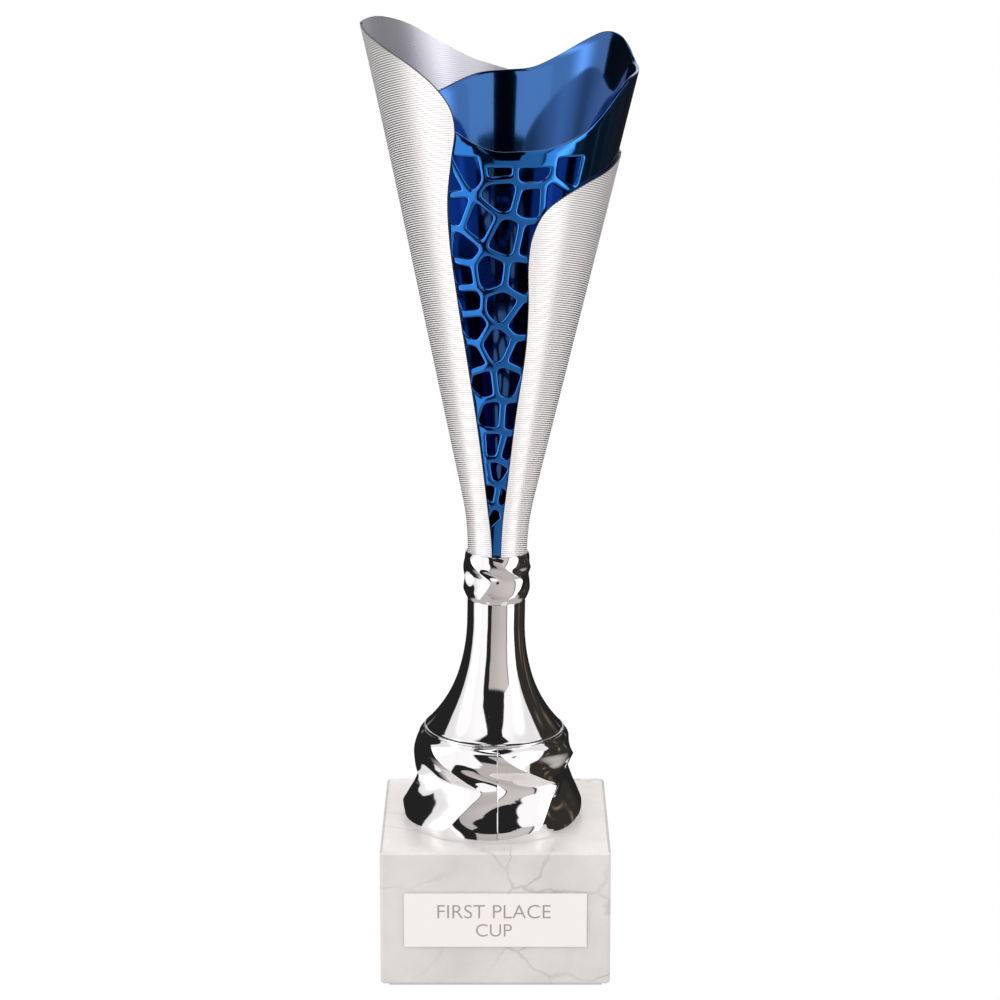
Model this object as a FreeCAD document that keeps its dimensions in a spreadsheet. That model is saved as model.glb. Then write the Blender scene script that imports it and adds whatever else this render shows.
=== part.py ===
"""Column trophy: a marble block, a wavy chrome foot, a flared stem and a two-skin conical cup.

The block is centred on the origin and the trophy stands on its felt pad at height zero.
The front is -Y.  The rod and everything above the block stand on one axis that leans a little
towards +X and crosses the middle of the trophy inside the stem.
"""
import FreeCAD, Part
import math
import os
import Sketcher

Vector = FreeCAD.Vector
UP = Vector(0, 0, 1)
BACK = Vector(0, 1, 0)
ORIGIN = Vector(0, 0, 0)
REACH = 60.0
ABOVE = 200.0

SIZES = {
    # marble block and what is stuck to it
    "block_width": 65.6,
    "block_height": 40.0,
    "block_chamfer": 0.8,
    "rod_passage": 12.0,
    "nut_recess": 26.0,
    "nut_recess_depth": 14.0,
    "pad_thickness": 1.0,
    "pad_inset": 2.3,
    "plate_width": 52.0,
    "plate_height": 16.0,
    "plate_thickness": 0.5,
    "plate_level": 19.8,
    "tape_thickness": 0.2,
    "tape_inset": 1.0,
    # foot
    "foot_height": 26.8,
    "foot_wall": 1.6,
    "boss_radius": 6.0,
    "boss_bore": 4.2,
    # stem
    "stem_height": 38.85,
    "stem_wall": 1.8,
    "neck_radius": 8.33,
    "neck_straight": 6.5,
    "upper_flare_radius": 56.0,
    "upper_flare_angle": 15.54,
    "lower_flare_radius": 38.0,
    "lower_flare_angle": 44.8,
    "bush_length": 12.0,
    "bush_bore": 6.8,
    # the column's axis, which crosses the middle of the trophy at a height above the block
    "lean": 1.06,
    "lean_level": 50.0,
    # cup, measured along that axis from the seat of the collar
    "collar_floor": 1.8,
    "collar_bore": 8.65,
    "wrap_radius": 8.55,
    "wrap_thickness": 0.7,
    "liner_gap": 0.15,
    "liner_wall": 1.0,
    "liner_floor": 2.0,
    "flare_start": 14.2,
    "flare_radius": 75.0,
    "flare_angle": 12.62,
    "cup_top": 172.0,
    "strut_width": 2.4,
    "cell_corner": 1.0,
    "cell_top": 131.0,
    "cell_dip": 2.6,
    "cell_dip_centre": 5.6,
    "cell_dip_half": 12.0,
    "cell_depth": 4.0,
    # rod and fasteners (M6)
    "rod_diameter": 6.0,
    "rod_beyond_nut": 2.5,
    "nut_flats": 10.0,
    "nut_height": 5.0,
    "nut_bore": 6.2,
    "large_washer": 18.0,
    "small_washer": 12.0,
    "washer_bore": 6.4,
    "washer_thickness": 1.6,
}

# The trumpet's inner face stops at the level of its foot, short of the whole lower arc.
INNER_SHARE = 0.94

WAVES = 6
POINTS_PER_WAVE = 14
WAVE_FALL = 0.38
# Foot: height along the axis, mean radius, height of the waves, azimuth of one ridge.
# It starts below the block's top, which trims it.
FOOT_LEVELS = [
    (-0.8, 26.1, 0.0, -38.0),
    (0.8, 26.2, 0.0, -35.0),
    (2.4, 26.1, 0.2, -31.5),
    (4.4, 25.6, 0.6, -27.5),
    (7.0, 24.4, 0.9, -22.5),
    (10.5, 22.8, 1.15, -15.0),
    (14.0, 22.1, 1.3, -8.0),
    (17.0, 21.9, 1.2, -21.0),
    (20.0, 22.3, 0.95, -35.0),
    (22.5, 22.4, 0.7, -46.5),
    (24.8, 22.1, 0.3, -54.0),
    (26.8, 20.4, 0.0, -58.0),
]
# Collar under the cup: the same, from the collar's seat.
COLLAR_LEVELS = [
    (0.0, 8.25, 0.0, -34.0),
    (1.6, 9.0, 0.1, -30.0),
    (3.3, 9.35, 0.3, -23.0),
    (5.2, 9.3, 0.5, -14.0),
    (7.0, 9.2, 0.55, -10.0),
    (8.8, 9.2, 0.5, -24.0),
    (10.5, 9.4, 0.3, -40.0),
    (12.2, 9.45, 0.15, -52.0),
    (14.2, 8.95, 0.0, -60.0),
]

# Rims, as (x, height above the collar's seat), from the +X side of the cup to the -X side.
WRAP_RIGHT = (32.6, 129.3)
WRAP_LEFT = (-40.1, 163.9)
WRAP_BACK_RIM = [
    (28.0, 133.4), (20.0, 139.5), (11.0, 145.0), (0.0, 148.3), (-9.6, 151.2),
    (-19.2, 156.1), (-29.0, 161.8), (-36.5, 164.3),
]
WRAP_RIGHT_EDGE = [
    (29.3, 126.5), (22.5, 123.4), (16.5, 120.2), (11.2, 116.0), (8.1, 109.5), (7.1, 102.5),
    (7.3, 89.0), (6.9, 77.0), (4.4, 56.0), (2.6, 37.0), (1.3, 22.5), (1.0, 0.0),
]
WRAP_LEFT_EDGE = [
    (-1.6, 0.0), (-1.7, 16.7), (-3.2, 29.7), (-6.1, 51.5), (-9.5, 72.7), (-12.5, 90.7),
    (-14.9, 107.8), (-15.5, 119.2), (-14.6, 130.5), (-13.8, 138.5), (-15.1, 144.3),
    (-19.0, 149.6), (-25.5, 154.8), (-33.3, 159.2), (-37.9, 161.9),
]
LINER_RIGHT = (36.8, 152.6)
LINER_LEFT = (-33.0, 138.6)
LINER_BACK_RIM = [
    (36.0, 154.4), (34.3, 157.9), (31.8, 160.3), (28.5, 160.5), (23.3, 157.8), (14.8, 152.5),
    (7.5, 149.0), (0.0, 148.1), (-8.5, 147.1), (-19.5, 142.5), (-28.0, 139.4),
]
LINER_FRONT_RIM = [
    (34.5, 151.6), (31.0, 148.1), (26.3, 142.2), (20.7, 137.2), (13.0, 134.0), (3.6, 133.1),
    (-3.1, 133.1), (-8.6, 135.0), (-13.8, 137.9), (-21.0, 140.6), (-28.0, 140.4),
]

# The net at the liner's front: azimuth from the front and height above the seat.
# OPEN_CELLS are pierced; BLIND_CELLS only bound them, behind the wrap.
OPEN_CELLS = [
    (-18.5, 127.6), (-31.0, 124.0), (-3.3, 129.0), (14.5, 128.0), (36.3, 127.6), (27.5, 119.5),
    (-1.9, 121.1), (15.5, 119.2), (-28.5, 116.2), (-14.7, 113.0), (1.3, 109.0), (17.0, 107.8),
    (-27.0, 105.2), (-8.3, 98.3), (-28.5, 97.5), (12.5, 97.4), (-26.5, 90.2), (-0.3, 89.2),
    (16.0, 85.0), (-23.5, 82.6), (-4.4, 78.0), (-27.5, 73.8), (18.5, 74.9), (-19.0, 65.8),
    (8.5, 66.8), (-10.2, 56.9), (15.0, 56.6), (-9.0, 47.9), (13.0, 46.6), (-4.2, 39.6),
    (-17.0, 33.4), (11.5, 32.4), (-9.0, 25.4),
]
BLIND_CELLS = [
    (-44.0, 128.0), (-44.0, 118.0), (-42.0, 107.0), (-43.0, 97.0), (-42.0, 88.0),
    (-42.0, 78.0), (-43.0, 68.0), (-36.0, 60.0), (-32.0, 48.0), (-27.0, 39.0), (-34.0, 28.0),
    (50.0, 127.0), (44.0, 116.0), (36.0, 107.0), (31.0, 96.0), (34.0, 85.0), (38.0, 74.0),
    (31.0, 65.0), (34.0, 55.0), (31.0, 45.0), (27.0, 36.0), (28.0, 27.0), (8.0, 22.0),
    (-9.0, 17.0),
]


def add_sheet(doc):
    """Put every driving size in the document's spreadsheet, one alias per row."""
    sheet = doc.addObject("Spreadsheet::Sheet", "sizes")
    for row, (alias, number) in enumerate(SIZES.items(), start=1):
        sheet.set("A%d" % row, alias)
        sheet.set("B%d" % row, str(number))
        sheet.setAlias("B%d" % row, alias)
    doc.recompute()
    return sheet


def polar(radius, azimuth, height):
    """A point at an azimuth in degrees from the front (-Y), growing towards +X."""
    turn = math.radians(azimuth)
    return Vector(radius * math.sin(turn), -radius * math.cos(turn), height)


# ---- PartDesign helpers ----------------------------------------------------------------

def new_body(doc, label):
    body = doc.addObject("PartDesign::Body", label)
    body.Label = label
    return body


def plane_of(body, role):
    for feature in body.Origin.OriginFeatures:
        if feature.Role == role:
            return feature
    raise ValueError(role)


def new_sketch(body, name, role="XY_Plane"):
    sketch = body.newObject("Sketcher::SketchObject", name)
    sketch.AttachmentSupport = (plane_of(body, role), [""])
    sketch.MapMode = "FlatFace"
    return sketch


def bind(sketch, kind, *arguments, size):
    """Add one dimension to a sketch and bind it to an expression of the spreadsheet."""
    start = sketch.evalExpression(size)
    number = sketch.addConstraint(Sketcher.Constraint(kind, *arguments, float(start)))
    sketch.setExpression("Constraints[%d]" % number, size)


def draw_rectangle(sketch, width, height):
    """A rectangle centred on the sketch's origin; width and height are expressions."""
    half_w = float(sketch.evalExpression(width)) / 2
    half_h = float(sketch.evalExpression(height)) / 2
    corners = [
        Vector(-half_w, -half_h, 0), Vector(half_w, -half_h, 0),
        Vector(half_w, half_h, 0), Vector(-half_w, half_h, 0),
    ]
    lines = []
    for index, corner in enumerate(corners):
        lines.append(sketch.addGeometry(Part.LineSegment(corner, corners[(index + 1) % 4])))
    for index, line in enumerate(lines):
        sketch.addConstraint(Sketcher.Constraint("Coincident", line, 2, lines[(index + 1) % 4], 1))
        sketch.addConstraint(Sketcher.Constraint("Vertical" if index % 2 else "Horizontal", line))
    sketch.addConstraint(Sketcher.Constraint("Symmetric", lines[0], 1, lines[1], 2, -1, 1))
    bind(sketch, "DistanceX", lines[0], 1, lines[0], 2, size=width)
    bind(sketch, "DistanceY", lines[1], 1, lines[1], 2, size=height)


def draw_circle(sketch, diameter):
    radius = float(sketch.evalExpression(diameter)) / 2
    circle = sketch.addGeometry(Part.Circle(ORIGIN, UP, radius))
    sketch.addConstraint(Sketcher.Constraint("Coincident", circle, 3, -1, 1))
    bind(sketch, "Diameter", circle, size=diameter)


def draw_hexagon(sketch, flats):
    """A hexagon of six equal sides with its corners on a construction circle."""
    corner = float(sketch.evalExpression(flats)) / math.sqrt(3)
    points = [polar(corner, 60 * index, 0) for index in range(6)]
    circle = sketch.addGeometry(Part.Circle(ORIGIN, UP, corner), True)
    sketch.addConstraint(Sketcher.Constraint("Coincident", circle, 3, -1, 1))
    lines = []
    for index, point in enumerate(points):
        lines.append(sketch.addGeometry(Part.LineSegment(point, points[(index + 1) % 6])))
    for index, line in enumerate(lines):
        sketch.addConstraint(Sketcher.Constraint("Coincident", line, 2, lines[(index + 1) % 6], 1))
        sketch.addConstraint(Sketcher.Constraint("PointOnObject", line, 1, circle))
        if index:
            sketch.addConstraint(Sketcher.Constraint("Equal", line, lines[0]))
    sketch.addConstraint(Sketcher.Constraint("Vertical", lines[1]))
    bind(sketch, "Radius", circle, size="(%s) / sqrt(3)" % flats)


def add_pad(body, sketch, length, name="pad"):
    pad = body.newObject("PartDesign::Pad", name)
    pad.Profile = sketch
    pad.setExpression("Length", length)
    sketch.Visibility = False
    return pad


def add_through_pocket(body, sketch, name="pocket"):
    pocket = body.newObject("PartDesign::Pocket", name)
    pocket.Profile = sketch
    pocket.Type = "ThroughAll"
    pocket.Midplane = True
    return pocket


def add_disc(doc, label, diameter, bore, thickness):
    """A flat ring: pad of the outer circle, pocket of the bore."""
    body = new_body(doc, label)
    outline = new_sketch(body, label + "_outline")
    draw_circle(outline, diameter)
    add_pad(body, outline, thickness)
    hole = new_sketch(body, label + "_bore")
    draw_circle(hole, bore)
    add_through_pocket(body, hole)
    return body


def place(piece, axis_x, level, lean="0"):
    """Bind where a sub-part stands: its axis at level, and its lean towards +X in degrees."""
    piece.setExpression(".Placement.Base.x", axis_x)
    piece.setExpression(".Placement.Base.z", level)
    piece.setExpression(".Placement.Rotation.Angle", lean)
    piece.Placement.Rotation.Axis = BACK


# ---- where things stand, as expressions -------------------------------------------------

BLOCK_TOP = "(sizes.pad_thickness + sizes.block_height)"
LEAN_LEVEL = "(%s + sizes.lean_level)" % BLOCK_TOP
LEAN = "sizes.lean"
STEM_FOOT = "sizes.foot_height"
SEAT = "(sizes.foot_height + sizes.stem_height)"
NUT_SEAT = "(sizes.pad_thickness + sizes.nut_recess_depth)"


def lean_x(level):
    """The x of the leaning axis at a level."""
    return "(%s - %s) * tan(sizes.lean * 1deg)" % (level, LEAN_LEVEL)


def level_on_axis(distance):
    """The level of a point of the axis, a distance along it from the block's top."""
    return "(%s + (%s) * cos(sizes.lean * 1deg))" % (BLOCK_TOP, distance)


def place_on_axis(piece, distance):
    """Stand a piece on the leaning axis, a distance along it from the block's top."""
    level = level_on_axis(distance)
    place(piece, lean_x(level), level, LEAN)


def place_on_seat(piece, above_seat):
    """Stand a piece on the leaning axis, a distance above the collar's seat."""
    place_on_axis(piece, "%s + %s" % (SEAT, above_seat))


# ---- block ------------------------------------------------------------------------------

def make_marble_plinth(doc):
    body = new_body(doc, "marble_plinth")
    outline = new_sketch(body, "block_outline")
    draw_rectangle(outline, "sizes.block_width", "sizes.block_width")
    pad = add_pad(body, outline, "sizes.block_height")
    doc.recompute()
    chamfer = body.newObject("PartDesign::Chamfer", "block_edges")
    chamfer.Base = (pad, ["Edge%d" % number for number in range(1, len(pad.Shape.Edges) + 1)])
    chamfer.setExpression("Size", "sizes.block_chamfer")
    passage = new_sketch(body, "rod_passage_outline")
    draw_circle(passage, "sizes.rod_passage")
    add_through_pocket(body, passage, "rod_passage")
    recess = new_sketch(body, "nut_recess_outline")
    draw_circle(recess, "sizes.nut_recess")
    pocket = body.newObject("PartDesign::Pocket", "nut_recess")
    pocket.Profile = recess
    pocket.Reversed = True
    pocket.setExpression("Length", "sizes.nut_recess_depth")
    place(body, "0", "sizes.pad_thickness")
    return body


def make_felt_pad(doc):
    """A sheet under the whole block, which also closes the nut's recess."""
    body = new_body(doc, "felt_pad")
    outline = new_sketch(body, "pad_outline")
    side = "sizes.block_width - 2 * sizes.pad_inset"
    draw_rectangle(outline, side, side)
    add_pad(body, outline, "sizes.pad_thickness")
    place(body, "0", "0")
    return body


def make_front_panel(doc, label, width, height, thickness, behind):
    """A flat plate on the block's front face, a distance in front of the marble."""
    body = new_body(doc, label)
    outline = new_sketch(body, label + "_outline", "XZ_Plane")
    draw_rectangle(outline, width, height)
    add_pad(body, outline, thickness)
    body.setExpression(".Placement.Base.y", "-sizes.block_width / 2 - (%s)" % behind)
    body.setExpression(".Placement.Base.z", "sizes.pad_thickness + sizes.plate_level")
    return body


def make_plates(doc):
    tape = make_front_panel(
        doc, "plate_tape",
        "sizes.plate_width - 2 * sizes.tape_inset", "sizes.plate_height - 2 * sizes.tape_inset",
        "sizes.tape_thickness", "0")
    plate = make_front_panel(
        doc, "engraving_plate", "sizes.plate_width", "sizes.plate_height",
        "sizes.plate_thickness", "sizes.tape_thickness")
    return [tape, plate]


# ---- foot and collar: lofts through rings of slanting waves ------------------------------

def wave(phase):
    """Height of the saw-like wave, -1 to 1, at a phase of 0 to 1 counted from its ridge."""
    if phase < WAVE_FALL:
        return math.cos(math.pi * phase / WAVE_FALL)
    return -math.cos(math.pi * (phase - WAVE_FALL) / (1 - WAVE_FALL))


def wave_ring(height, mean_radius, wave_height, ridge_azimuth, inward=0.0):
    """A closed smooth curve with WAVES ridges; inward shrinks it."""
    points = []
    total = WAVES * POINTS_PER_WAVE
    for index in range(total):
        phase = index % POINTS_PER_WAVE / POINTS_PER_WAVE
        radius = mean_radius + wave_height * wave(phase) - inward
        points.append(polar(radius, ridge_azimuth + 360.0 * index / total, height))
    curve = Part.BSplineCurve()
    curve.interpolate(Points=points, PeriodicFlag=True)
    return Part.Wire(curve.toShape())


def wavy_solid(levels, inward=0.0):
    return Part.makeLoft([wave_ring(*level, inward) for level in levels], True)


def make_wave_foot(doc, sheet):
    """A hollow skirt with a closed shoulder, and a boss inside that takes the rod's load.

    The block's top trims its rim, so that it sits flat though its axis leans.
    """
    wall = sheet.foot_wall
    outside = wavy_solid(FOOT_LEVELS)
    hollow_levels = [level for level in FOOT_LEVELS if level[0] < sheet.foot_height - wall]
    last = hollow_levels[-1]
    lid = (sheet.foot_height - wall, last[1] - wall / 2, 0.0, last[3])
    hollow = wavy_solid(hollow_levels + [lid], wall)
    low = FOOT_LEVELS[0][0]
    height = sheet.foot_height - low
    boss = Part.makeCylinder(sheet.boss_radius, height - wall / 2, UP * low)
    bore = Part.makeCylinder(sheet.boss_bore, height, UP * low)
    block = Part.makeBox(2 * REACH, 2 * REACH, -2 * low, Vector(-REACH, -REACH, 2 * low))
    block.rotate(ORIGIN, BACK, -sheet.lean)
    foot = doc.addObject("Part::Feature", "wave_foot")
    foot.Label = "wave_foot"
    foot.Shape = outside.cut(hollow).fuse(boss).cut([bore, block])
    place_on_axis(foot, "0")
    return foot


def make_wave_collar(doc, sheet):
    """The cup's socket: wavy outside, plain bore, and a floor with a hole for the rod."""
    outside = wavy_solid(COLLAR_LEVELS)
    top = COLLAR_LEVELS[-1][0]
    socket = Part.makeCylinder(sheet.collar_bore, top, UP * sheet.collar_floor)
    bore = Part.makeCylinder(sheet.bush_bore / 2, top)
    collar = doc.addObject("Part::Feature", "wave_collar")
    collar.Label = "wave_collar"
    collar.Shape = outside.cut([socket, bore])
    place_on_seat(collar, "0")
    return collar


# ---- stem -------------------------------------------------------------------------------

def flare_point(inward, upper_share, lower_share):
    """Expressions for a point of the trumpet's outline, inward of its outer face.

    The outline is a straight neck, then two tangent arcs that open downwards.  A share of
    1 is the whole angle of that arc.
    """
    first = "(%g * sizes.upper_flare_angle * 1deg)" % upper_share
    start = "(sizes.upper_flare_angle * 1deg)"
    last = "((sizes.upper_flare_angle + %g * (sizes.lower_flare_angle" % lower_share
    last += " - sizes.upper_flare_angle)) * 1deg)"
    upper = "(sizes.upper_flare_radius + %s)" % inward
    lower = "(sizes.lower_flare_radius + %s)" % inward
    radius = "sizes.neck_radius - %s + %s * (1 - cos(%s))" % (inward, upper, first)
    height = "sizes.stem_height - sizes.neck_straight - %s * sin(%s)" % (upper, first)
    if lower_share > 0:
        radius += " + %s * (cos(%s) - cos(%s))" % (lower, start, last)
        height += " - %s * (sin(%s) - sin(%s))" % (lower, last, start)
    return radius, height


def draw_outline(sketch, corners, arcs):
    """A closed outline through corners, given as pairs of expressions.

    Side number n, from corner n to the next, is an arc where arcs[n] holds a pair: the
    expressions of a point on it, and the expression of its radius.
    """
    def at(pair):
        return Vector(
            float(sketch.evalExpression(pair[0])), float(sketch.evalExpression(pair[1])), 0)

    sides = []
    for index, corner in enumerate(corners):
        following = corners[(index + 1) % len(corners)]
        if index in arcs:
            side = Part.Arc(at(corner), at(arcs[index][0]), at(following))
        else:
            side = Part.LineSegment(at(corner), at(following))
        sides.append(sketch.addGeometry(side))
    ends = []
    for index, side in enumerate(sides):
        # an arc is stored counter-clockwise, so its start may be either corner
        start = sketch.getPoint(side, 1)
        ends.append((1, 2) if (start - at(corners[index])).Length < 1e-6 else (2, 1))
    for index, side in enumerate(sides):
        following = (index + 1) % len(sides)
        sketch.addConstraint(Sketcher.Constraint(
            "Coincident", side, ends[index][1], sides[following], ends[following][0]))
        bind(sketch, "DistanceX", -1, 1, side, ends[index][0], size=corners[index][0])
        bind(sketch, "DistanceY", -1, 1, side, ends[index][0], size=corners[index][1])
        if index in arcs:
            bind(sketch, "Radius", side, size=arcs[index][1])


def make_flared_stem(doc):
    """A hollow trumpet, open at both ends, that stands on the foot's shoulder."""
    body = new_body(doc, "flared_stem")
    profile = new_sketch(body, "trumpet_profile", "XZ_Plane")
    skin = "0"
    wall = "sizes.stem_wall"
    outer_foot = flare_point(skin, 1, 1)
    inner_foot = flare_point(wall, 1, INNER_SHARE)
    corners = [
        (outer_foot[0], "0"),
        outer_foot,
        flare_point(skin, 1, 0),
        flare_point(skin, 0, 0),
        ("sizes.neck_radius", "sizes.stem_height"),
        ("sizes.neck_radius - sizes.stem_wall", "sizes.stem_height"),
        flare_point(wall, 0, 0),
        flare_point(wall, 1, 0),
        inner_foot,
        (inner_foot[0], "0"),
    ]
    arcs = {
        1: (flare_point(skin, 1, 0.5), "sizes.lower_flare_radius"),
        2: (flare_point(skin, 0.5, 0), "sizes.upper_flare_radius"),
        6: (flare_point(wall, 0.5, 0), "sizes.upper_flare_radius + sizes.stem_wall"),
        7: (flare_point(wall, 1, INNER_SHARE / 2), "sizes.lower_flare_radius + sizes.stem_wall"),
    }
    draw_outline(profile, corners, arcs)
    turn = body.newObject("PartDesign::Revolution", "trumpet")
    turn.Profile = profile
    turn.ReferenceAxis = (profile, ["V_Axis"])
    turn.Angle = 360.0
    place_on_axis(body, STEM_FOOT)
    return body


def make_neck_bush(doc):
    """A plastic sleeve in the mouth of the stem that centres the rod under the collar."""
    body = add_disc(
        doc, "neck_bush", "2 * (sizes.neck_radius - sizes.stem_wall)", "sizes.bush_bore",
        "sizes.bush_length")
    place_on_axis(body, "%s - sizes.bush_length" % SEAT)
    return body


# ---- cup --------------------------------------------------------------------------------

def cup_side(sheet, inward, low, high):
    """Edges of one side of the cup's wall, bottom to top: a straight, an arc, a cone.

    inward is the distance from the wrap's outer face.  The outline lies in the YZ plane.
    """
    radius = sheet.flare_radius + inward
    middle = sheet.wrap_radius + sheet.flare_radius
    slope = math.radians(sheet.flare_angle)

    def on_arc(angle):
        return Vector(
            0, middle - radius * math.cos(angle), sheet.flare_start + radius * math.sin(angle))

    bottom = Vector(0, sheet.wrap_radius - inward, low)
    joint = on_arc(slope)
    top = joint + Vector(0, math.tan(slope), 1) * (high - joint.z)
    straight = Part.LineSegment(bottom, on_arc(0)).toShape()
    bend = Part.Arc(on_arc(0), on_arc(slope / 2), joint).toShape()
    cone = Part.LineSegment(joint, top).toShape()
    return [straight, bend, cone], bottom, top


def cup_wall(sheet, inward, thickness, low, high):
    """The full ring of wall between two distances from the wrap's outer face."""
    outer, outer_low, outer_high = cup_side(sheet, inward, low, high)
    inner, inner_low, inner_high = cup_side(sheet, inward + thickness, low, high)
    lid = Part.LineSegment(outer_high, inner_high).toShape()
    base = Part.LineSegment(outer_low, inner_low).toShape()
    outline = Part.Wire(Part.__sortEdges__(outer + inner + [lid, base]))
    return Part.Face(outline).revolve(ORIGIN, UP, 360)


def smooth_edge(points):
    curve = Part.BSplineCurve()
    curve.interpolate([Vector(x, 0, height) for x, height in points])
    return curve.toShape()


def above_outline(edges, first, last, depth):
    """The space above a chain of edges, from the +X side to the -X side, to one side of y=0.

    first and last are where the chain starts and ends; depth is signed, along Y.
    """
    corners = [
        Vector(last[0], 0, last[1]), Vector(-REACH, 0, last[1]), Vector(-REACH, 0, ABOVE),
        Vector(REACH, 0, ABOVE), Vector(REACH, 0, first[1]), Vector(first[0], 0, first[1]),
    ]
    sides = [Part.LineSegment(a, b).toShape() for a, b in zip(corners, corners[1:])]
    outline = Part.Wire(Part.__sortEdges__(edges + sides))
    return Part.Face(outline).extrude(Vector(0, depth, 0))


def make_silver_wrap(doc, sheet):
    """A thin sheet cone, open at the front, whose left wing rises to a tip."""
    wall = cup_wall(sheet, 0.0, sheet.wrap_thickness, sheet.collar_floor, sheet.cup_top)
    back = above_outline(
        [smooth_edge([WRAP_RIGHT] + WRAP_BACK_RIM + [WRAP_LEFT])], WRAP_RIGHT, WRAP_LEFT, REACH)
    floor = Part.LineSegment(
        Vector(WRAP_RIGHT_EDGE[-1][0], 0, 0), Vector(WRAP_LEFT_EDGE[0][0], 0, 0)).toShape()
    front_edges = [
        smooth_edge([WRAP_RIGHT] + WRAP_RIGHT_EDGE), floor,
        smooth_edge(WRAP_LEFT_EDGE + [WRAP_LEFT]),
    ]
    front = above_outline(front_edges, WRAP_RIGHT, WRAP_LEFT, -REACH)
    wrap = doc.addObject("Part::Feature", "silver_wrap")
    wrap.Label = "silver_wrap"
    wrap.Shape = wall.cut([back, front])
    place_on_seat(wrap, "0")
    return wrap


def flatten(sheet, azimuth, height):
    """Where a point of the cone lands when the cone is unrolled flat."""
    slope = math.radians(sheet.flare_angle)
    cone_radius = sheet.wrap_radius + sheet.flare_radius * (1 - math.cos(slope))
    cone_start = sheet.flare_start + sheet.flare_radius * math.sin(slope)
    apex = cone_start - cone_radius / math.tan(slope)
    distance = (height - apex) / math.cos(slope)
    turn = math.radians(azimuth) * math.sin(slope)
    return distance * math.sin(turn), distance * math.cos(turn)


def clip(polygon, nx, ny, limit):
    """The part of a polygon where nx * x + ny * y is at most limit."""
    kept = []
    for (ax, ay), (bx, by) in zip(polygon, polygon[1:] + polygon[:1]):
        before = nx * ax + ny * ay - limit
        after = nx * bx + ny * by - limit
        if before <= 0:
            kept.append((ax, ay))
        if before * after < 0:
            share = before / (before - after)
            kept.append((ax + share * (bx - ax), ay + share * (by - ay)))
    return kept


def cell_outline(sheet, seed, seeds):
    """The points nearer to one seed than to any other, less half a strut all round.

    The outline is in a frame on the cone at the seed: x along the ring, y up the wall.
    """
    here = flatten(sheet, *seed)
    turn = math.atan2(here[0], here[1])

    def local(point):
        dx = point[0] - here[0]
        dy = point[1] - here[1]
        along = dx * math.cos(turn) - dy * math.sin(turn)
        return along, dx * math.sin(turn) + dy * math.cos(turn)

    room = 20.0
    polygon = [(-room, -room), (room, -room), (room, room), (-room, room)]
    for other in seeds:
        if other == seed:
            continue
        x, y = local(flatten(sheet, *other))
        span = math.hypot(x, y)
        polygon = clip(polygon, x / span, y / span, span / 2 - sheet.strut_width / 2)
    dip = sheet.cell_dip if abs(seed[0] - sheet.cell_dip_centre) < sheet.cell_dip_half else 0.0
    rise = (sheet.cell_top - dip - seed[1]) / math.cos(math.radians(sheet.flare_angle))
    return clip(polygon, 0, 1, rise)


def rounded_wire(polygon, radius, to_space):
    """A wire round a polygon with its corners rounded as far as its sides allow."""
    shortest = 0.25
    corners = []
    for point in polygon:
        if not corners or math.dist(point, corners[-1]) > shortest:
            corners.append(point)
    if math.dist(corners[0], corners[-1]) <= shortest:
        corners.pop()
    arcs = []
    for index, corner in enumerate(corners):
        before = corners[index - 1]
        after = corners[(index + 1) % len(corners)]
        back = math.dist(corner, before)
        ahead = math.dist(corner, after)
        back_dir = ((before[0] - corner[0]) / back, (before[1] - corner[1]) / back)
        ahead_dir = ((after[0] - corner[0]) / ahead, (after[1] - corner[1]) / ahead)
        cosine = back_dir[0] * ahead_dir[0] + back_dir[1] * ahead_dir[1]
        half = math.acos(max(-1.0, min(1.0, cosine))) / 2
        setback = min(radius / math.tan(half), 0.45 * back, 0.45 * ahead)
        bulge = setback / math.cos(half) - setback * math.tan(half)
        middle = (back_dir[0] + ahead_dir[0], back_dir[1] + ahead_dir[1])
        size = math.hypot(*middle)
        arcs.append((
            (corner[0] + setback * back_dir[0], corner[1] + setback * back_dir[1]),
            (corner[0] + bulge * middle[0] / size, corner[1] + bulge * middle[1] / size),
            (corner[0] + setback * ahead_dir[0], corner[1] + setback * ahead_dir[1]),
        ))
    edges = []
    for index, (start, middle, end) in enumerate(arcs):
        edges.append(Part.Arc(to_space(start), to_space(middle), to_space(end)).toShape())
        following = arcs[(index + 1) % len(arcs)][0]
        edges.append(Part.LineSegment(to_space(end), to_space(following)).toShape())
    return Part.Wire(edges)


def cell_cutter(sheet, seed, seeds):
    """A prism through the wall, square to it at the seed, with the cell's rounded outline."""
    azimuth = math.radians(seed[0])
    slope = math.radians(sheet.flare_angle)
    sine, cosine = math.sin(azimuth), math.cos(azimuth)
    cone = cup_side(sheet, 0.0, 0.0, seed[1])[2]
    radius = cone.y
    seat = polar(radius, seed[0], seed[1])
    along = Vector(cosine, sine, 0)
    up_wall = Vector(math.sin(slope) * sine, -math.sin(slope) * cosine, math.cos(slope))
    outward = Vector(math.cos(slope) * sine, -math.cos(slope) * cosine, -math.sin(slope))

    def to_space(point):
        return seat + along * point[0] + up_wall * point[1] - outward * sheet.cell_depth

    outline = rounded_wire(cell_outline(sheet, seed, seeds), sheet.cell_corner, to_space)
    return Part.Face(outline).extrude(outward * 2 * sheet.cell_depth)


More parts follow.
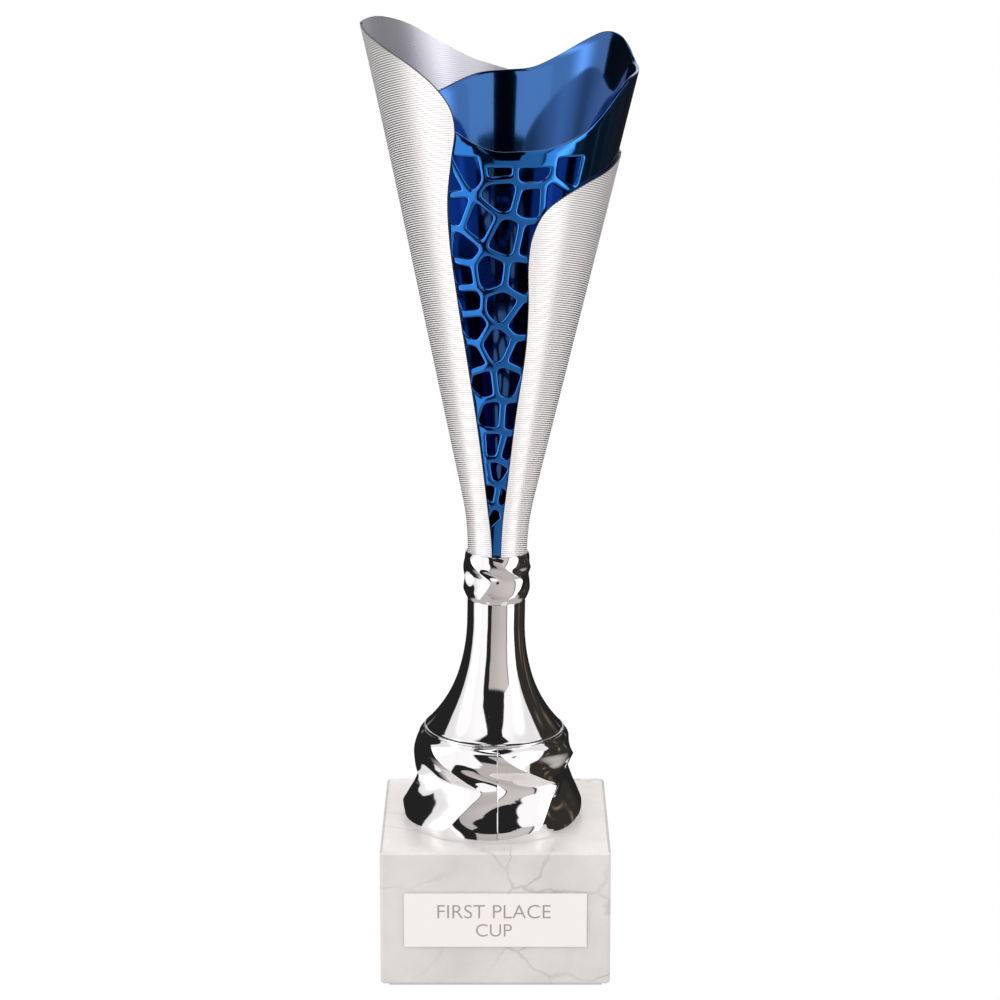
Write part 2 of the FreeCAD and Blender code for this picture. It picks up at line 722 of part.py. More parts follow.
def make_blue_liner(doc, sheet):
    """The inner cup: a floor with a hole for the rod, a wavy rim and a pierced net in front."""
    inward = sheet.wrap_thickness + sheet.liner_gap
    wall = cup_wall(sheet, inward, sheet.liner_wall, sheet.collar_floor, sheet.cup_top)
    floor = Part.makeCylinder(
        sheet.wrap_radius - inward - sheet.liner_wall / 2, sheet.liner_floor,
        UP * sheet.collar_floor)
    bore = Part.makeCylinder(sheet.bush_bore / 2, 2 * sheet.collar_floor + sheet.liner_floor)
    back = above_outline(
        [smooth_edge([LINER_RIGHT] + LINER_BACK_RIM + [LINER_LEFT])],
        LINER_RIGHT, LINER_LEFT, REACH)
    front = above_outline(
        [smooth_edge([LINER_RIGHT] + LINER_FRONT_RIM + [LINER_LEFT])],
        LINER_RIGHT, LINER_LEFT, -REACH)
    seeds = OPEN_CELLS + BLIND_CELLS
    cutters = [cell_cutter(sheet, seed, seeds) for seed in OPEN_CELLS]
    liner = doc.addObject("Part::Feature", "blue_liner")
    liner.Label = "blue_liner"
    liner.Shape = wall.fuse(floor).cut([back, front, bore]).cut(cutters)
    place_on_seat(liner, "0")
    return liner


# ---- rod and fasteners -------------------------------------------------------------------

def make_nut(doc, label):
    body = new_body(doc, label)
    outline = new_sketch(body, label + "_outline")
    draw_hexagon(outline, "sizes.nut_flats")
    add_pad(body, outline, "sizes.nut_height")
    hole = new_sketch(body, label + "_bore")
    draw_circle(hole, "sizes.nut_bore")
    add_through_pocket(body, hole)
    return body


def make_fasteners(doc):
    """The rod, and a washer and a nut at each end of it."""
    base_washer = add_disc(
        doc, "base_washer", "sizes.large_washer", "sizes.washer_bore", "sizes.washer_thickness")
    washer_level = "%s - sizes.washer_thickness" % NUT_SEAT
    place(base_washer, lean_x(washer_level), washer_level)
    base_nut = make_nut(doc, "base_nut")
    nut_level = "%s - sizes.nut_height" % washer_level
    place(base_nut, lean_x(nut_level), nut_level)
    liner_seat = "sizes.collar_floor + sizes.liner_floor"
    cup_washer = add_disc(
        doc, "cup_washer", "sizes.small_washer", "sizes.washer_bore", "sizes.washer_thickness")
    place_on_seat(cup_washer, liner_seat)
    cup_nut = make_nut(doc, "cup_nut")
    place_on_seat(cup_nut, "%s + sizes.washer_thickness" % liner_seat)
    rod = new_body(doc, "tie_rod")
    section = new_sketch(rod, "rod_section")
    draw_circle(section, "sizes.rod_diameter")
    rod_low = "(%s - sizes.rod_beyond_nut)" % nut_level
    rod_high = level_on_axis(
        "%s + %s + sizes.washer_thickness + sizes.nut_height + sizes.rod_beyond_nut" % (
            SEAT, liner_seat))
    add_pad(rod, section, "%s - %s" % (rod_high, rod_low))
    place(rod, lean_x(rod_low), rod_low, LEAN)
    return [base_washer, base_nut, cup_washer, cup_nut, rod]


# ---- the whole trophy ---------------------------------------------------------------------

def check(doc, pieces):
    """Stop if any object failed to build or any sub-part isn't one valid solid."""
    for item in doc.Objects:
        if "Invalid" in item.State or "Error" in item.State:
            raise RuntimeError("%s: %s" % (item.Name, item.State))
    for piece in pieces:
        shape = piece.Shape
        if shape.isNull() or not shape.isValid() or len(shape.Solids) != 1:
            raise RuntimeError("%s has no single valid solid" % piece.Label)
        box = shape.BoundBox
        print("%-16s %9.1f mm3  x %7.2f %7.2f  y %7.2f %7.2f  z %7.2f %7.2f" % (
            piece.Label, shape.Volume, box.XMin, box.XMax, box.YMin, box.YMax, box.ZMin, box.ZMax))


def main():
    doc = FreeCAD.newDocument("column_trophy")
    sheet = add_sheet(doc)
    pieces = [make_marble_plinth(doc), make_felt_pad(doc)]
    pieces += make_plates(doc)
    pieces.append(make_wave_foot(doc, sheet))
    pieces.append(make_flared_stem(doc))
    pieces.append(make_neck_bush(doc))
    pieces.append(make_wave_collar(doc, sheet))
    pieces.append(make_blue_liner(doc, sheet))
    pieces.append(make_silver_wrap(doc, sheet))
    pieces += make_fasteners(doc)
    doc.recompute()
    check(doc, pieces)
    os.makedirs("parts", exist_ok=True)
    for piece in pieces:
        piece.Shape.exportStep("parts/%s.step" % piece.Label)


main()
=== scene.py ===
"""Looks of the column trophy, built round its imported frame.

Shapes are worked out in millimetres and scaled to metres when a mesh is made.  Azimuths are
in degrees from the front (-Y) towards +X.  Heights on the cup are measured along its own
leaning axis from the seat of the collar.
"""
import bmesh
import bpy
import math
import numpy as np
from mathutils import Matrix, Vector, geometry


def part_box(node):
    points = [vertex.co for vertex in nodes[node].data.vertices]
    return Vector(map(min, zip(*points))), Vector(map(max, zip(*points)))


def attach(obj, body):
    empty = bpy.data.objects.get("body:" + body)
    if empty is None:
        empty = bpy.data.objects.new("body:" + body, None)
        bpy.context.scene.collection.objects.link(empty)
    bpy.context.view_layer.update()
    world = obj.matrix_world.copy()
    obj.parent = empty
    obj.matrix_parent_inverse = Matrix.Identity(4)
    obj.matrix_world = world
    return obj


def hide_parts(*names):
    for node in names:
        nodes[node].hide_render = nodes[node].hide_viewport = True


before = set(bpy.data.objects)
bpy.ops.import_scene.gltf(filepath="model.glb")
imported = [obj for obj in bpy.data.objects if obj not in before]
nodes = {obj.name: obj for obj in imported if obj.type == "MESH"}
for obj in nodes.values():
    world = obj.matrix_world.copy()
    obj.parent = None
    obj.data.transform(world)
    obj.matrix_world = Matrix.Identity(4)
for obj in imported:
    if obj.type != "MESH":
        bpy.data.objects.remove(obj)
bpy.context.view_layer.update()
MM = 0.001

# ---- where things stand ---------------------------------------------------------------------

FOOT_HEIGHT = 26.8
STEM_HEIGHT = 38.85
BLOCK_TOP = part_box("marble_plinth")[1].z / MM
LEAN = math.radians(1.06)
# The leaning axis crosses the block's upright one this far above the block.
LEAN_LEVEL = 50.0


def on_axis(distance):
    """The frame of a piece that stands on the leaning axis, so far along from the block."""
    level = distance * math.cos(LEAN)
    return Matrix.Translation(
        (math.tan(LEAN) * (level - LEAN_LEVEL), 0, BLOCK_TOP + level)
    ) @ Matrix.Rotation(LEAN, 4, "Y")


ON_BLOCK = on_axis(0.0)
ON_FOOT = on_axis(FOOT_HEIGHT)
ON_SEAT = on_axis(FOOT_HEIGHT + STEM_HEIGHT)

# ---- sizes shared with the design -----------------------------------------------------------

FOOT_WALL = 1.6
BOSS_RADIUS = 6.0
BOSS_BORE = 4.2
STEM_WALL = 1.8
NECK_RADIUS = 8.33
NECK_STRAIGHT = 6.5
UPPER_FLARE = (56.0, 15.54)
LOWER_FLARE = (38.0, 44.8)
ROD_BORE = 3.4
COLLAR_FLOOR = 1.8
COLLAR_BORE = 8.65
WRAP_RADIUS = 8.55
WRAP_THICKNESS = 0.7
LINER_DEPTH = 0.85
LINER_WALL = 1.0
LINER_FLOOR = 2.0
FLARE_START = 14.2
FLARE_RADIUS = 75.0
FLARE_ANGLE = math.radians(12.62)
STRUT_WIDTH = 2.4

WAVES = 6
WAVE_FALL = 0.38
# Each level has its height, mean radius, half the waves' depth and the azimuth of one ridge.
FOOT_LEVELS = [
    (-0.8, 26.1, 0.0, -38.0),
    (0.8, 26.2, 0.0, -35.0),
    (2.4, 26.1, 0.2, -31.5),
    (4.4, 25.6, 0.6, -27.5),
    (7.0, 24.4, 0.9, -22.5),
    (10.5, 22.8, 1.15, -15.0),
    (14.0, 22.1, 1.3, -8.0),
    (17.0, 21.9, 1.2, -21.0),
    (20.0, 22.3, 0.95, -35.0),
    (22.5, 22.4, 0.7, -46.5),
    (24.8, 22.1, 0.3, -54.0),
    (26.8, 20.4, 0.0, -58.0),
]
COLLAR_LEVELS = [
    (0.0, 8.25, 0.0, -34.0),
    (1.6, 9.0, 0.1, -30.0),
    (3.3, 9.35, 0.3, -23.0),
    (5.2, 9.3, 0.5, -14.0),
    (7.0, 9.2, 0.55, -10.0),
    (8.8, 9.2, 0.5, -24.0),
    (10.5, 9.4, 0.3, -40.0),
    (12.2, 9.45, 0.15, -52.0),
    (14.2, 8.95, 0.0, -60.0),
]

# Points of the two skins' edges, as seen from the front: distance right of the axis and height.
WRAP_RIGHT = (32.6, 129.3)
WRAP_LEFT = (-40.7, 163.9)
WRAP_BACK_RIM = [
    (28.0, 133.4), (20.0, 139.5), (11.0, 145.0), (0.0, 148.3), (-9.6, 151.2),
    (-19.2, 156.1), (-29.0, 161.8), (-36.5, 164.3),
]
WRAP_RIGHT_EDGE = [
    (29.3, 126.5), (22.5, 123.4), (16.5, 120.2), (11.2, 116.0), (8.1, 109.5), (7.1, 102.5),
    (7.3, 89.0), (6.9, 77.0), (4.4, 56.0), (2.6, 37.0), (1.3, 22.5), (1.0, 0.0),
]
WRAP_LEFT_EDGE = [
    (-1.6, 0.0), (-1.7, 16.7), (-3.2, 29.7), (-6.1, 51.5), (-9.5, 72.7), (-12.5, 90.7),
    (-14.9, 107.8), (-15.5, 119.2), (-14.6, 130.5), (-13.8, 138.5), (-15.1, 144.3),
    (-19.0, 149.6), (-25.5, 154.8), (-33.3, 159.2), (-37.9, 161.9),
]
LINER_RIGHT = (37.0, 152.6)
LINER_LEFT = (-33.4, 138.6)
LINER_BACK_RIM = [
    (36.0, 154.4), (34.3, 157.9), (31.8, 160.3), (28.5, 160.5), (23.3, 157.8), (14.8, 152.5),
    (7.5, 149.0), (0.0, 148.1), (-8.5, 147.1), (-19.5, 142.5), (-28.0, 139.4),
]
LINER_FRONT_RIM = [
    (34.5, 151.6), (31.0, 148.1), (26.3, 142.2), (20.7, 137.2), (13.0, 134.0), (3.6, 133.1),
    (-3.1, 133.1), (-8.6, 135.0), (-13.8, 137.9), (-21.0, 140.6), (-28.0, 140.4),
]

# The net's cells, as azimuth and height.  The blind ones are closed and only shape the others.
# The top row ends at one height, which dips in the middle.
CELL_TOP = 131.0
CELL_DIP = 2.6
CELL_DIP_CENTRE = 5.6
CELL_DIP_HALF = 12.0
OPEN_CELLS = [
    (-18.5, 127.6), (-31.0, 124.0), (-3.3, 129.0), (14.5, 128.0), (36.3, 127.6), (27.5, 119.5),
    (-1.9, 121.1), (15.5, 119.2), (-28.5, 116.2), (-14.7, 113.0), (1.3, 109.0), (17.0, 107.8),
    (-27.0, 105.2), (-8.3, 98.3), (-28.5, 97.5), (12.5, 97.4), (-26.5, 90.2), (-0.3, 89.2),
    (16.0, 85.0), (-23.5, 82.6), (-4.4, 78.0), (-27.5, 73.8), (18.5, 74.9), (-19.0, 65.8),
    (8.5, 66.8), (-10.2, 56.9), (15.0, 56.6), (-9.0, 47.9), (13.0, 46.6), (-4.2, 39.6),
    (-17.0, 33.4), (11.5, 32.4), (-9.0, 25.4),
]
BLIND_CELLS = [
    (-44.0, 128.0), (-44.0, 118.0), (-42.0, 107.0), (-43.0, 97.0), (-42.0, 88.0),
    (-42.0, 78.0), (-43.0, 68.0), (-36.0, 60.0), (-32.0, 48.0), (-27.0, 39.0), (-34.0, 28.0),
    (50.0, 127.0), (44.0, 116.0), (36.0, 107.0), (31.0, 96.0), (34.0, 85.0), (38.0, 74.0),
    (31.0, 65.0), (34.0, 55.0), (31.0, 45.0), (27.0, 36.0), (28.0, 27.0), (8.0, 22.0),
    (-9.0, 17.0),
]


# ---- meshes ---------------------------------------------------------------------------------

WELD_DISTANCE = 0.004
SLIVER_DISTANCE = 0.002


def polar(radius, azimuth, height):
    """Points of rings, as an array whose last axis is x, y, z."""
    turn = np.radians(azimuth)
    x = radius * np.sin(turn)
    y = -radius * np.cos(turn)
    return np.stack(np.broadcast_arrays(x, y, height), axis=-1).astype(float)


def ring_faces(rows, columns, close_rows):
    """Quads between rows of points that are closed rings."""
    faces = []
    for row in range(rows if close_rows else rows - 1):
        low = row * columns
        high = (row + 1) % rows * columns
        for column in range(columns):
            following = (column + 1) % columns
            faces.append((low + column, low + following, high + following, high + column))
    return faces


def add_piece(name, points, faces, stand, replaced, sharp=None):
    """A mesh in the row frame that rides on the body and stands for CAD nodes."""
    turn = np.array(stand)
    points = np.asarray(points) @ turn[:3, :3].T + turn[:3, 3]
    points[:, 2] = np.maximum(points[:, 2], BLOCK_TOP)
    mesh = bpy.data.meshes.new(name)
    mesh.from_pydata([tuple(p) for p in points * MM], [], faces)
    build = bmesh.new()
    build.from_mesh(mesh)
    bmesh.ops.remove_doubles(build, verts=build.verts, dist=WELD_DISTANCE * MM)
    bmesh.ops.dissolve_degenerate(build, edges=build.edges, dist=SLIVER_DISTANCE * MM)
    bmesh.ops.recalc_face_normals(build, faces=build.faces)
    if build.calc_volume(signed=True) < 0:
        bmesh.ops.reverse_faces(build, faces=build.faces)
    build.to_mesh(mesh)
    build.free()
    mesh.shade_smooth()
    if sharp:
        mesh.set_sharp_from_angle(angle=math.radians(sharp))
    piece = bpy.data.objects.new(name, mesh)
    bpy.context.scene.collection.objects.link(piece)
    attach(piece, "root")
    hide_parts(replaced)
    return piece


def lathe(name, outline, columns, stand, replaced, sharp=None):
    """A closed outline of (radius, height) pairs turned about the axis."""
    azimuth = np.arange(columns) * 360.0 / columns
    rows = [polar(radius, azimuth, height) for radius, height in outline]
    faces = ring_faces(len(rows), columns, True)
    return add_piece(
        name, np.concatenate(rows), faces, stand, replaced, sharp)


# ---- foot and collar ------------------------------------------------------------------------

def monotone(xs, ys, at):
    """Smooth interpolation that never overshoots its points."""
    xs, ys, at = np.asarray(xs), np.asarray(ys), np.asarray(at)
    step = np.diff(xs)
    slope = np.diff(ys) / step
    tangent = np.zeros(len(xs))
    same = slope[1:] * slope[:-1] > 0
    weight_a = 2 * step[1:] + step[:-1]
    weight_b = step[1:] + 2 * step[:-1]
    with np.errstate(divide="ignore", invalid="ignore"):
        mean = (weight_a + weight_b) / (weight_a / slope[:-1] + weight_b / slope[1:])
    tangent[1:-1] = np.where(same, mean, 0.0)
    tangent[0], tangent[-1] = slope[0], slope[-1]
    cell = np.clip(np.searchsorted(xs, at) - 1, 0, len(step) - 1)
    share = (at - xs[cell]) / step[cell]
    return (
        (2 * share**3 - 3 * share**2 + 1) * ys[cell]
        + (share**3 - 2 * share**2 + share) * step[cell] * tangent[cell]
        + (3 * share**2 - 2 * share**3) * ys[cell + 1]
        + (share**3 - share**2) * step[cell] * tangent[cell + 1]
    )


def wave(phase):
    """Saw-like wave, -1 to 1: a crisp ridge at phase 0, a short fall, then a long rise."""
    fall = phase / WAVE_FALL
    rise = (phase - WAVE_FALL) / (1 - WAVE_FALL)
    crisp = np.where(
        phase < WAVE_FALL, 1 - 2 * np.sin(math.pi / 2 * fall), 1 - 2 * np.cos(math.pi / 2 * rise))
    soft = np.where(phase < WAVE_FALL, np.cos(math.pi * fall), -np.cos(math.pi * rise))
    return 0.85 * crisp + 0.15 * soft


def wavy_rows(levels, heights, columns):
    """Rings of the wavy face, with column 0 on the ridge that the levels follow."""
    table = np.array(levels)
    share = np.arange(columns) / columns
    bumps = wave(share * WAVES % 1.0)
    rows = []
    for height in heights:
        mean = monotone(table[:, 0], table[:, 1], height)
        size = monotone(table[:, 0], table[:, 2], height)
        ridge = monotone(table[:, 0], table[:, 3], height)
        rows.append(polar(mean + size * bumps, ridge + 360.0 * share, height))
    return rows


def wavy_piece(name, levels, row_count, columns, inside, stand):
    """A wavy shell: its outer rings, then plain rings that close it on the inside."""
    heights = np.linspace(levels[0][0], levels[-1][0], row_count)
    rows = wavy_rows(levels, heights, columns)
    azimuth = levels[-1][3] + 360.0 * np.arange(columns) / columns
    rows += [polar(radius, azimuth, height) for radius, height in inside]
    faces = ring_faces(len(rows), columns, True)
    return add_piece(name, np.concatenate(rows), faces, stand, name, 50)


def make_foot():
    """The skirt, with a boss inside that the rod passes through."""
    lid = FOOT_HEIGHT - FOOT_WALL
    low = FOOT_LEVELS[0][0]
    inside = [
        (BOSS_BORE, FOOT_HEIGHT), (BOSS_BORE, low), (BOSS_RADIUS, low), (BOSS_RADIUS, lid),
        (18.8, lid), (19.6, 20.0), (19.4, 14.0), (22.0, 7.0), (24.2, 2.0), (24.4, low),
    ]
    return wavy_piece("wave_foot", FOOT_LEVELS, 150, 540, inside, ON_BLOCK)


def make_collar():
    """The socket that the cup stands in, with a hole for the rod in its floor."""
    top = COLLAR_LEVELS[-1][0]
    inside = [
        (COLLAR_BORE + 0.1, top), (COLLAR_BORE, top - 0.1), (COLLAR_BORE, COLLAR_FLOOR),
        (ROD_BORE, COLLAR_FLOOR), (ROD_BORE, 0.0),
    ]
    return wavy_piece(
        "wave_collar", COLLAR_LEVELS, 110, 480, inside, ON_SEAT)


# ---- stem -----------------------------------------------------------------------------------

def trumpet(inward, lower_end):
    """Half outline of the trumpet, top to bottom, inward of its outer face."""
    points = [(NECK_RADIUS - inward, STEM_HEIGHT)]
    top = STEM_HEIGHT - NECK_STRAIGHT
    upper, first = UPPER_FLARE[0] + inward, math.radians(UPPER_FLARE[1])
    lower = LOWER_FLARE[0] + inward
    last = first + lower_end * (math.radians(LOWER_FLARE[1]) - first)
    for angle in np.linspace(0, first, 24):
        points.append((
            NECK_RADIUS - inward + upper * (1 - math.cos(angle)), top - upper * math.sin(angle)))
    radius, height = points[-1]
    for angle in np.linspace(first, last, 40)[1:]:
        points.append((
            radius + lower * (math.cos(first) - math.cos(angle)),
            height - lower * (math.sin(angle) - math.sin(first))))
    return points


def make_stem():
    """The trumpet, with a small round bead where it meets the foot."""
    outer = trumpet(0.0, 1.0)
    inner = trumpet(STEM_WALL, 0.94)
    edge_radius, edge_height = outer[-1]
    bead = 0.34
    middle = (edge_radius + 0.02, bead)
    turned = [
        (middle[0] + bead * math.cos(angle), middle[1] + bead * math.sin(angle))
        for angle in np.radians(np.linspace(100, -90, 14))
    ]
    outline = outer[:-1] + turned + [(inner[-1][0], 0.0)] + inner[::-1]
    return lathe(
        "flared_stem", outline, 256, ON_FOOT, "flared_stem", 60)


# ---- cup: shared surfaces -------------------------------------------------------------------

def wall_radius(height, depth):
    """Radius of the cup's wall at a height, a depth inside the wrap's outer face."""
    height = np.asarray(height, float)
    rise = np.clip(height - FLARE_START, 0, FLARE_RADIUS * math.sin(FLARE_ANGLE))
    angle = np.arcsin(rise / FLARE_RADIUS)
    radius = WRAP_RADIUS + FLARE_RADIUS * (1 - np.cos(angle))
    radius = radius + np.maximum(height - FLARE_START - rise, 0) * math.tan(FLARE_ANGLE)
    return radius - depth / np.cos(angle)


CURVE_STEPS = 40


def curve_through(points):
    """A smooth curve through points (centripetal Catmull-Rom), as an array."""
    points = np.array(points, float)
    before = 2 * points[0] - points[1]
    after = 2 * points[-1] - points[-2]
    points = np.vstack([before, points, after])
    out = []
    for index in range(1, len(points) - 2):
        a, b, c, d = points[index - 1:index + 3]
        knots = np.cumsum([0] + [max(np.linalg.norm(q - p), 1e-6) ** 0.5
                                 for p, q in ((a, b), (b, c), (c, d))])
        for knot in np.linspace(knots[1], knots[2], CURVE_STEPS, endpoint=False):
            ab = (a * (knots[1] - knot) + b * knot) / knots[1]
            bc = (b * (knots[2] - knot) + c * (knot - knots[1])) / (knots[2] - knots[1])
            cd = (c * (knots[3] - knot) + d * (knot - knots[2])) / (knots[3] - knots[2])
            abc = (ab * (knots[2] - knot) + bc * knot) / knots[2]
            bcd = (bc * (knots[3] - knot) + cd * (knot - knots[1])) / (knots[3] - knots[1])
            out.append((abc * (knots[2] - knot) + bcd * (knot - knots[1])) / (knots[2] - knots[1]))
    out.append(points[-2])
    return np.array(out)


def azimuths_of(curve, depth, back):
    """Azimuths where the points of a rim, seen from the front, lie on the wall."""
    reach = wall_radius(curve[:, 1], depth)
    turn = np.degrees(np.arcsin(np.clip(curve[:, 0] / reach, -1, 1)))
    return 180.0 - turn if back else turn


# ---- wrap -----------------------------------------------------------------------------------

RIB_PITCH = 0.615
RIB_TILT = 0.26
RIB_DEPTH = 0.12
RIB_ROUNDS = 8
# The level of a rib is the height where its tilted plane crosses the cup's axis.
LOWEST_RIB = COLLAR_FLOOR + RIB_TILT * WRAP_RADIUS
WRAP_COLUMNS = 88
SPLAY = 0.5
SPLAY_START = 120.0
SPLAY_FULL = 165.0
SPLAY_AZIMUTH = 270.0


def splay(azimuth, height):
    """How far the wrap's left tip bends out past the cone."""
    lift = np.maximum(0.0, (height - SPLAY_START) / (SPLAY_FULL - SPLAY_START)) ** 2
    return SPLAY * lift * np.clip(np.cos(np.radians(azimuth - SPLAY_AZIMUTH)), 0, 1)


def height_on_rib(azimuth, level):
    """The heights of a tilted rib at some azimuths, found by repeated substitution."""
    height = np.full(len(azimuth), level)
    for _ in range(RIB_ROUNDS):
        radius = wall_radius(height, 0.0) + splay(azimuth, height)
        height = level + RIB_TILT * radius * np.cos(np.radians(azimuth))
    return height


def wrap_outline():
    """The azimuths and rib levels of the sheet's edge: up its right side, round, and down."""
    right = curve_through(WRAP_RIGHT_EDGE[::-1] + [WRAP_RIGHT])
    back = curve_through([WRAP_RIGHT] + WRAP_BACK_RIM + [WRAP_LEFT])
    left = curve_through(WRAP_LEFT_EDGE + [WRAP_LEFT])[::-1]
    azimuth = np.concatenate([
        azimuths_of(right, 0.0, False), azimuths_of(back, 0.0, True),
        360.0 + azimuths_of(left, 0.0, False)])
    height = np.concatenate([right[:, 1], back[:, 1], left[:, 1]])
    radius = wall_radius(height, 0.0) + splay(azimuth, height)
    return azimuth, height - RIB_TILT * radius * np.cos(np.radians(azimuth))


def make_wrap():
    """The ribbed sheet: each half rib is a row of points round the sheet, outside and back."""
    azimuth, level = wrap_outline()
    top = int(np.argmax(level))
    rising = np.maximum.accumulate(level[:top + 1])
    falling = np.maximum.accumulate(level[:top - 1:-1])
    levels = np.append(np.arange(LOWEST_RIB, level[top] - 0.1, RIB_PITCH / 2), level[top])
    share = np.linspace(0, 1, WRAP_COLUMNS)
    rows = []
    for index, level_here in enumerate(levels):
        start = np.interp(level_here, rising, azimuth[:top + 1])
        end = np.interp(level_here, falling, azimuth[:top - 1:-1])
        around = start + (end - start) * share
        up = height_on_rib(around, level_here)
        rib = RIB_DEPTH * (index % 2 - 0.5)
        out = splay(around, up)
        outer = polar(wall_radius(up, 0.0) + rib + out, around, up)
        inner = polar(wall_radius(up, WRAP_THICKNESS) + 0.25 * rib + out, around, up)
        rows.append(np.concatenate([outer, inner[::-1]]))
    faces = ring_faces(len(rows), 2 * WRAP_COLUMNS, False)
    last = (len(rows) - 1) * 2 * WRAP_COLUMNS
    for column in range(WRAP_COLUMNS - 1):
        mirror = 2 * WRAP_COLUMNS - 1 - column
        for row in (0, last):
            faces.append((row + column, row + column + 1, row + mirror - 1, row + mirror))
    return add_piece(
        "silver_wrap", np.concatenate(rows), faces, ON_SEAT, "silver_wrap", 10)


# ---- liner ----------------------------------------------------------------------------------

SLOPE_SINE = math.sin(FLARE_ANGLE)
CONE_START = FLARE_START + FLARE_RADIUS * SLOPE_SINE
CONE_RADIUS = WRAP_RADIUS + FLARE_RADIUS * (1 - math.cos(FLARE_ANGLE))
APEX = CONE_START - CONE_RADIUS / math.tan(FLARE_ANGLE)
NET_LOW = 20.0
NET_SIDES = (-48.0, 54.0)
LINER_STEP = 1.5
LINER_ROWS = 64
LIP = 0.22
NET_SPACING = 1.7
CELL_POINTS = 72
CELL_REACH = 9.0
NEIGHBOUR_REACH = 30.0
CORNER_SHARPNESS = 9
# Section of a strut, from its outer face round its edge to its inner face: how far the ring
# stands inside the cell's line, and its depth as a share of the wall.
STRUT_SECTION = [
    (0.3, 0.0), (0.52, 0.04), (0.76, 0.12), (0.98, 0.27), (1.12, 0.5), (1.17, 0.76),
    (1.06, 0.93), (0.8, 1.0),
]


def unroll(azimuth, height):
    """Where a point of the cone lands when the cone is unrolled flat."""
    distance = (np.asarray(height) - APEX) / math.cos(FLARE_ANGLE)
    turn = np.radians(azimuth) * SLOPE_SINE
    return np.stack(np.broadcast_arrays(
        distance * np.sin(turn), distance * np.cos(turn)), axis=-1)


def roll_up(flat):
    """The azimuth and height of points of the unrolled cone."""
    distance = np.hypot(flat[..., 0], flat[..., 1])
    turn = np.arctan2(flat[..., 0], flat[..., 1])
    return np.degrees(turn / SLOPE_SINE), APEX + distance * math.cos(FLARE_ANGLE)


def liner_rim():
    """The rim's smoothed height for azimuths of -180 to 180, every quarter degree."""
    front = curve_through([LINER_RIGHT] + LINER_FRONT_RIM + [LINER_LEFT])
    back = curve_through([LINER_RIGHT] + LINER_BACK_RIM + [LINER_LEFT])
    azimuths = np.concatenate([
        azimuths_of(front, LINER_DEPTH, False), azimuths_of(back, LINER_DEPTH, True)])
    azimuths = (azimuths + 180.0) % 360.0 - 180.0
    heights = np.concatenate([front[:, 1], back[:, 1]])
    order = np.argsort(azimuths)
    grid = np.arange(-180.0, 180.0, 0.25)
    rim = np.interp(grid, azimuths[order], heights[order], period=360.0)
    reach = 12
    window = np.hanning(2 * reach + 1)
    window /= window.sum()
    padded = np.concatenate([rim[-reach:], rim, rim[:reach]])
    return grid, np.convolve(padded, window, "valid")


RIM_GRID, RIM_HEIGHTS = liner_rim()


def rim_at(azimuth):
    return np.interp(azimuth, RIM_GRID, RIM_HEIGHTS, period=360.0)


def ledge_at(azimuth):
    """The height where the wall ends and the rim's rounded lip begins."""
    return rim_at(azimuth) - LIP


def cell_rings(seed, seeds):
    """The rings of one opening on the unrolled cone, one for each point of the section."""
    here = unroll(*seed)
    turn = math.atan2(here[0], here[1])
    frame_x = np.array([math.cos(turn), -math.sin(turn)])
    frame_y = np.array([math.sin(turn), math.cos(turn)])
    normals, reaches = [], []
    for other in seeds:
        if other == seed:
            continue
        gap = unroll(*other) - here
        span = np.linalg.norm(gap)
        if span < NEIGHBOUR_REACH:
            normals.append((gap @ frame_x / span, gap @ frame_y / span))
            reaches.append(span / 2)
    dip = CELL_DIP if abs(seed[0] - CELL_DIP_CENTRE) < CELL_DIP_HALF else 0.0
    rise = (CELL_TOP - dip - seed[1]) / math.cos(FLARE_ANGLE)
    normals.append((0.0, 1.0))
    reaches.append(rise + STRUT_WIDTH / 2)
    normals, reaches = np.array(normals), np.array(reaches)
    middle = cell_middle(normals, reaches)
    reaches = reaches - normals @ middle
    angle = np.arange(CELL_POINTS) * 2 * math.pi / CELL_POINTS
    facing = np.maximum(np.cos(angle) * normals[:, :1] + np.sin(angle) * normals[:, 1:], 0.0)
    rings = []
    for inset, _ in STRUT_SECTION:
        room = np.maximum(reaches - inset, 0.2)[:, None]
        size = ((facing / room) ** CORNER_SHARPNESS).sum(0) ** (-1 / CORNER_SHARPNESS)
        local = middle + size[:, None] * np.stack([np.cos(angle), np.sin(angle)], -1)
        rings.append(here + local[:, :1] * frame_x + local[:, 1:] * frame_y)
    return rings


def cell_middle(normals, reaches):
    """The middle of a cell, found by sampling the points inside all its sides."""
    axis = np.linspace(-CELL_REACH, CELL_REACH, 73)
    xs, ys = np.meshgrid(axis, axis)
    spots = np.stack([xs.ravel(), ys.ravel()], -1)
    inside = (spots @ normals.T < reaches).all(1)
    return spots[inside].mean(0)


def in_any_cell(flat, loops, grow):
    """Which points lie inside one of the cells, grown by a distance."""
    found = np.zeros(len(flat), bool)
    for loop in loops:
        middle = loop.mean(0)
        spokes = loop - middle
        angles = np.arctan2(spokes[:, 1], spokes[:, 0])
        order = np.argsort(angles)
        lengths = np.linalg.norm(spokes, axis=1)[order]
        gap = flat - middle
        near = np.interp(np.arctan2(gap[:, 1], gap[:, 0]), angles[order], lengths,
                         period=2 * math.pi)
        found |= np.linalg.norm(gap, axis=1) < near + grow
    return found


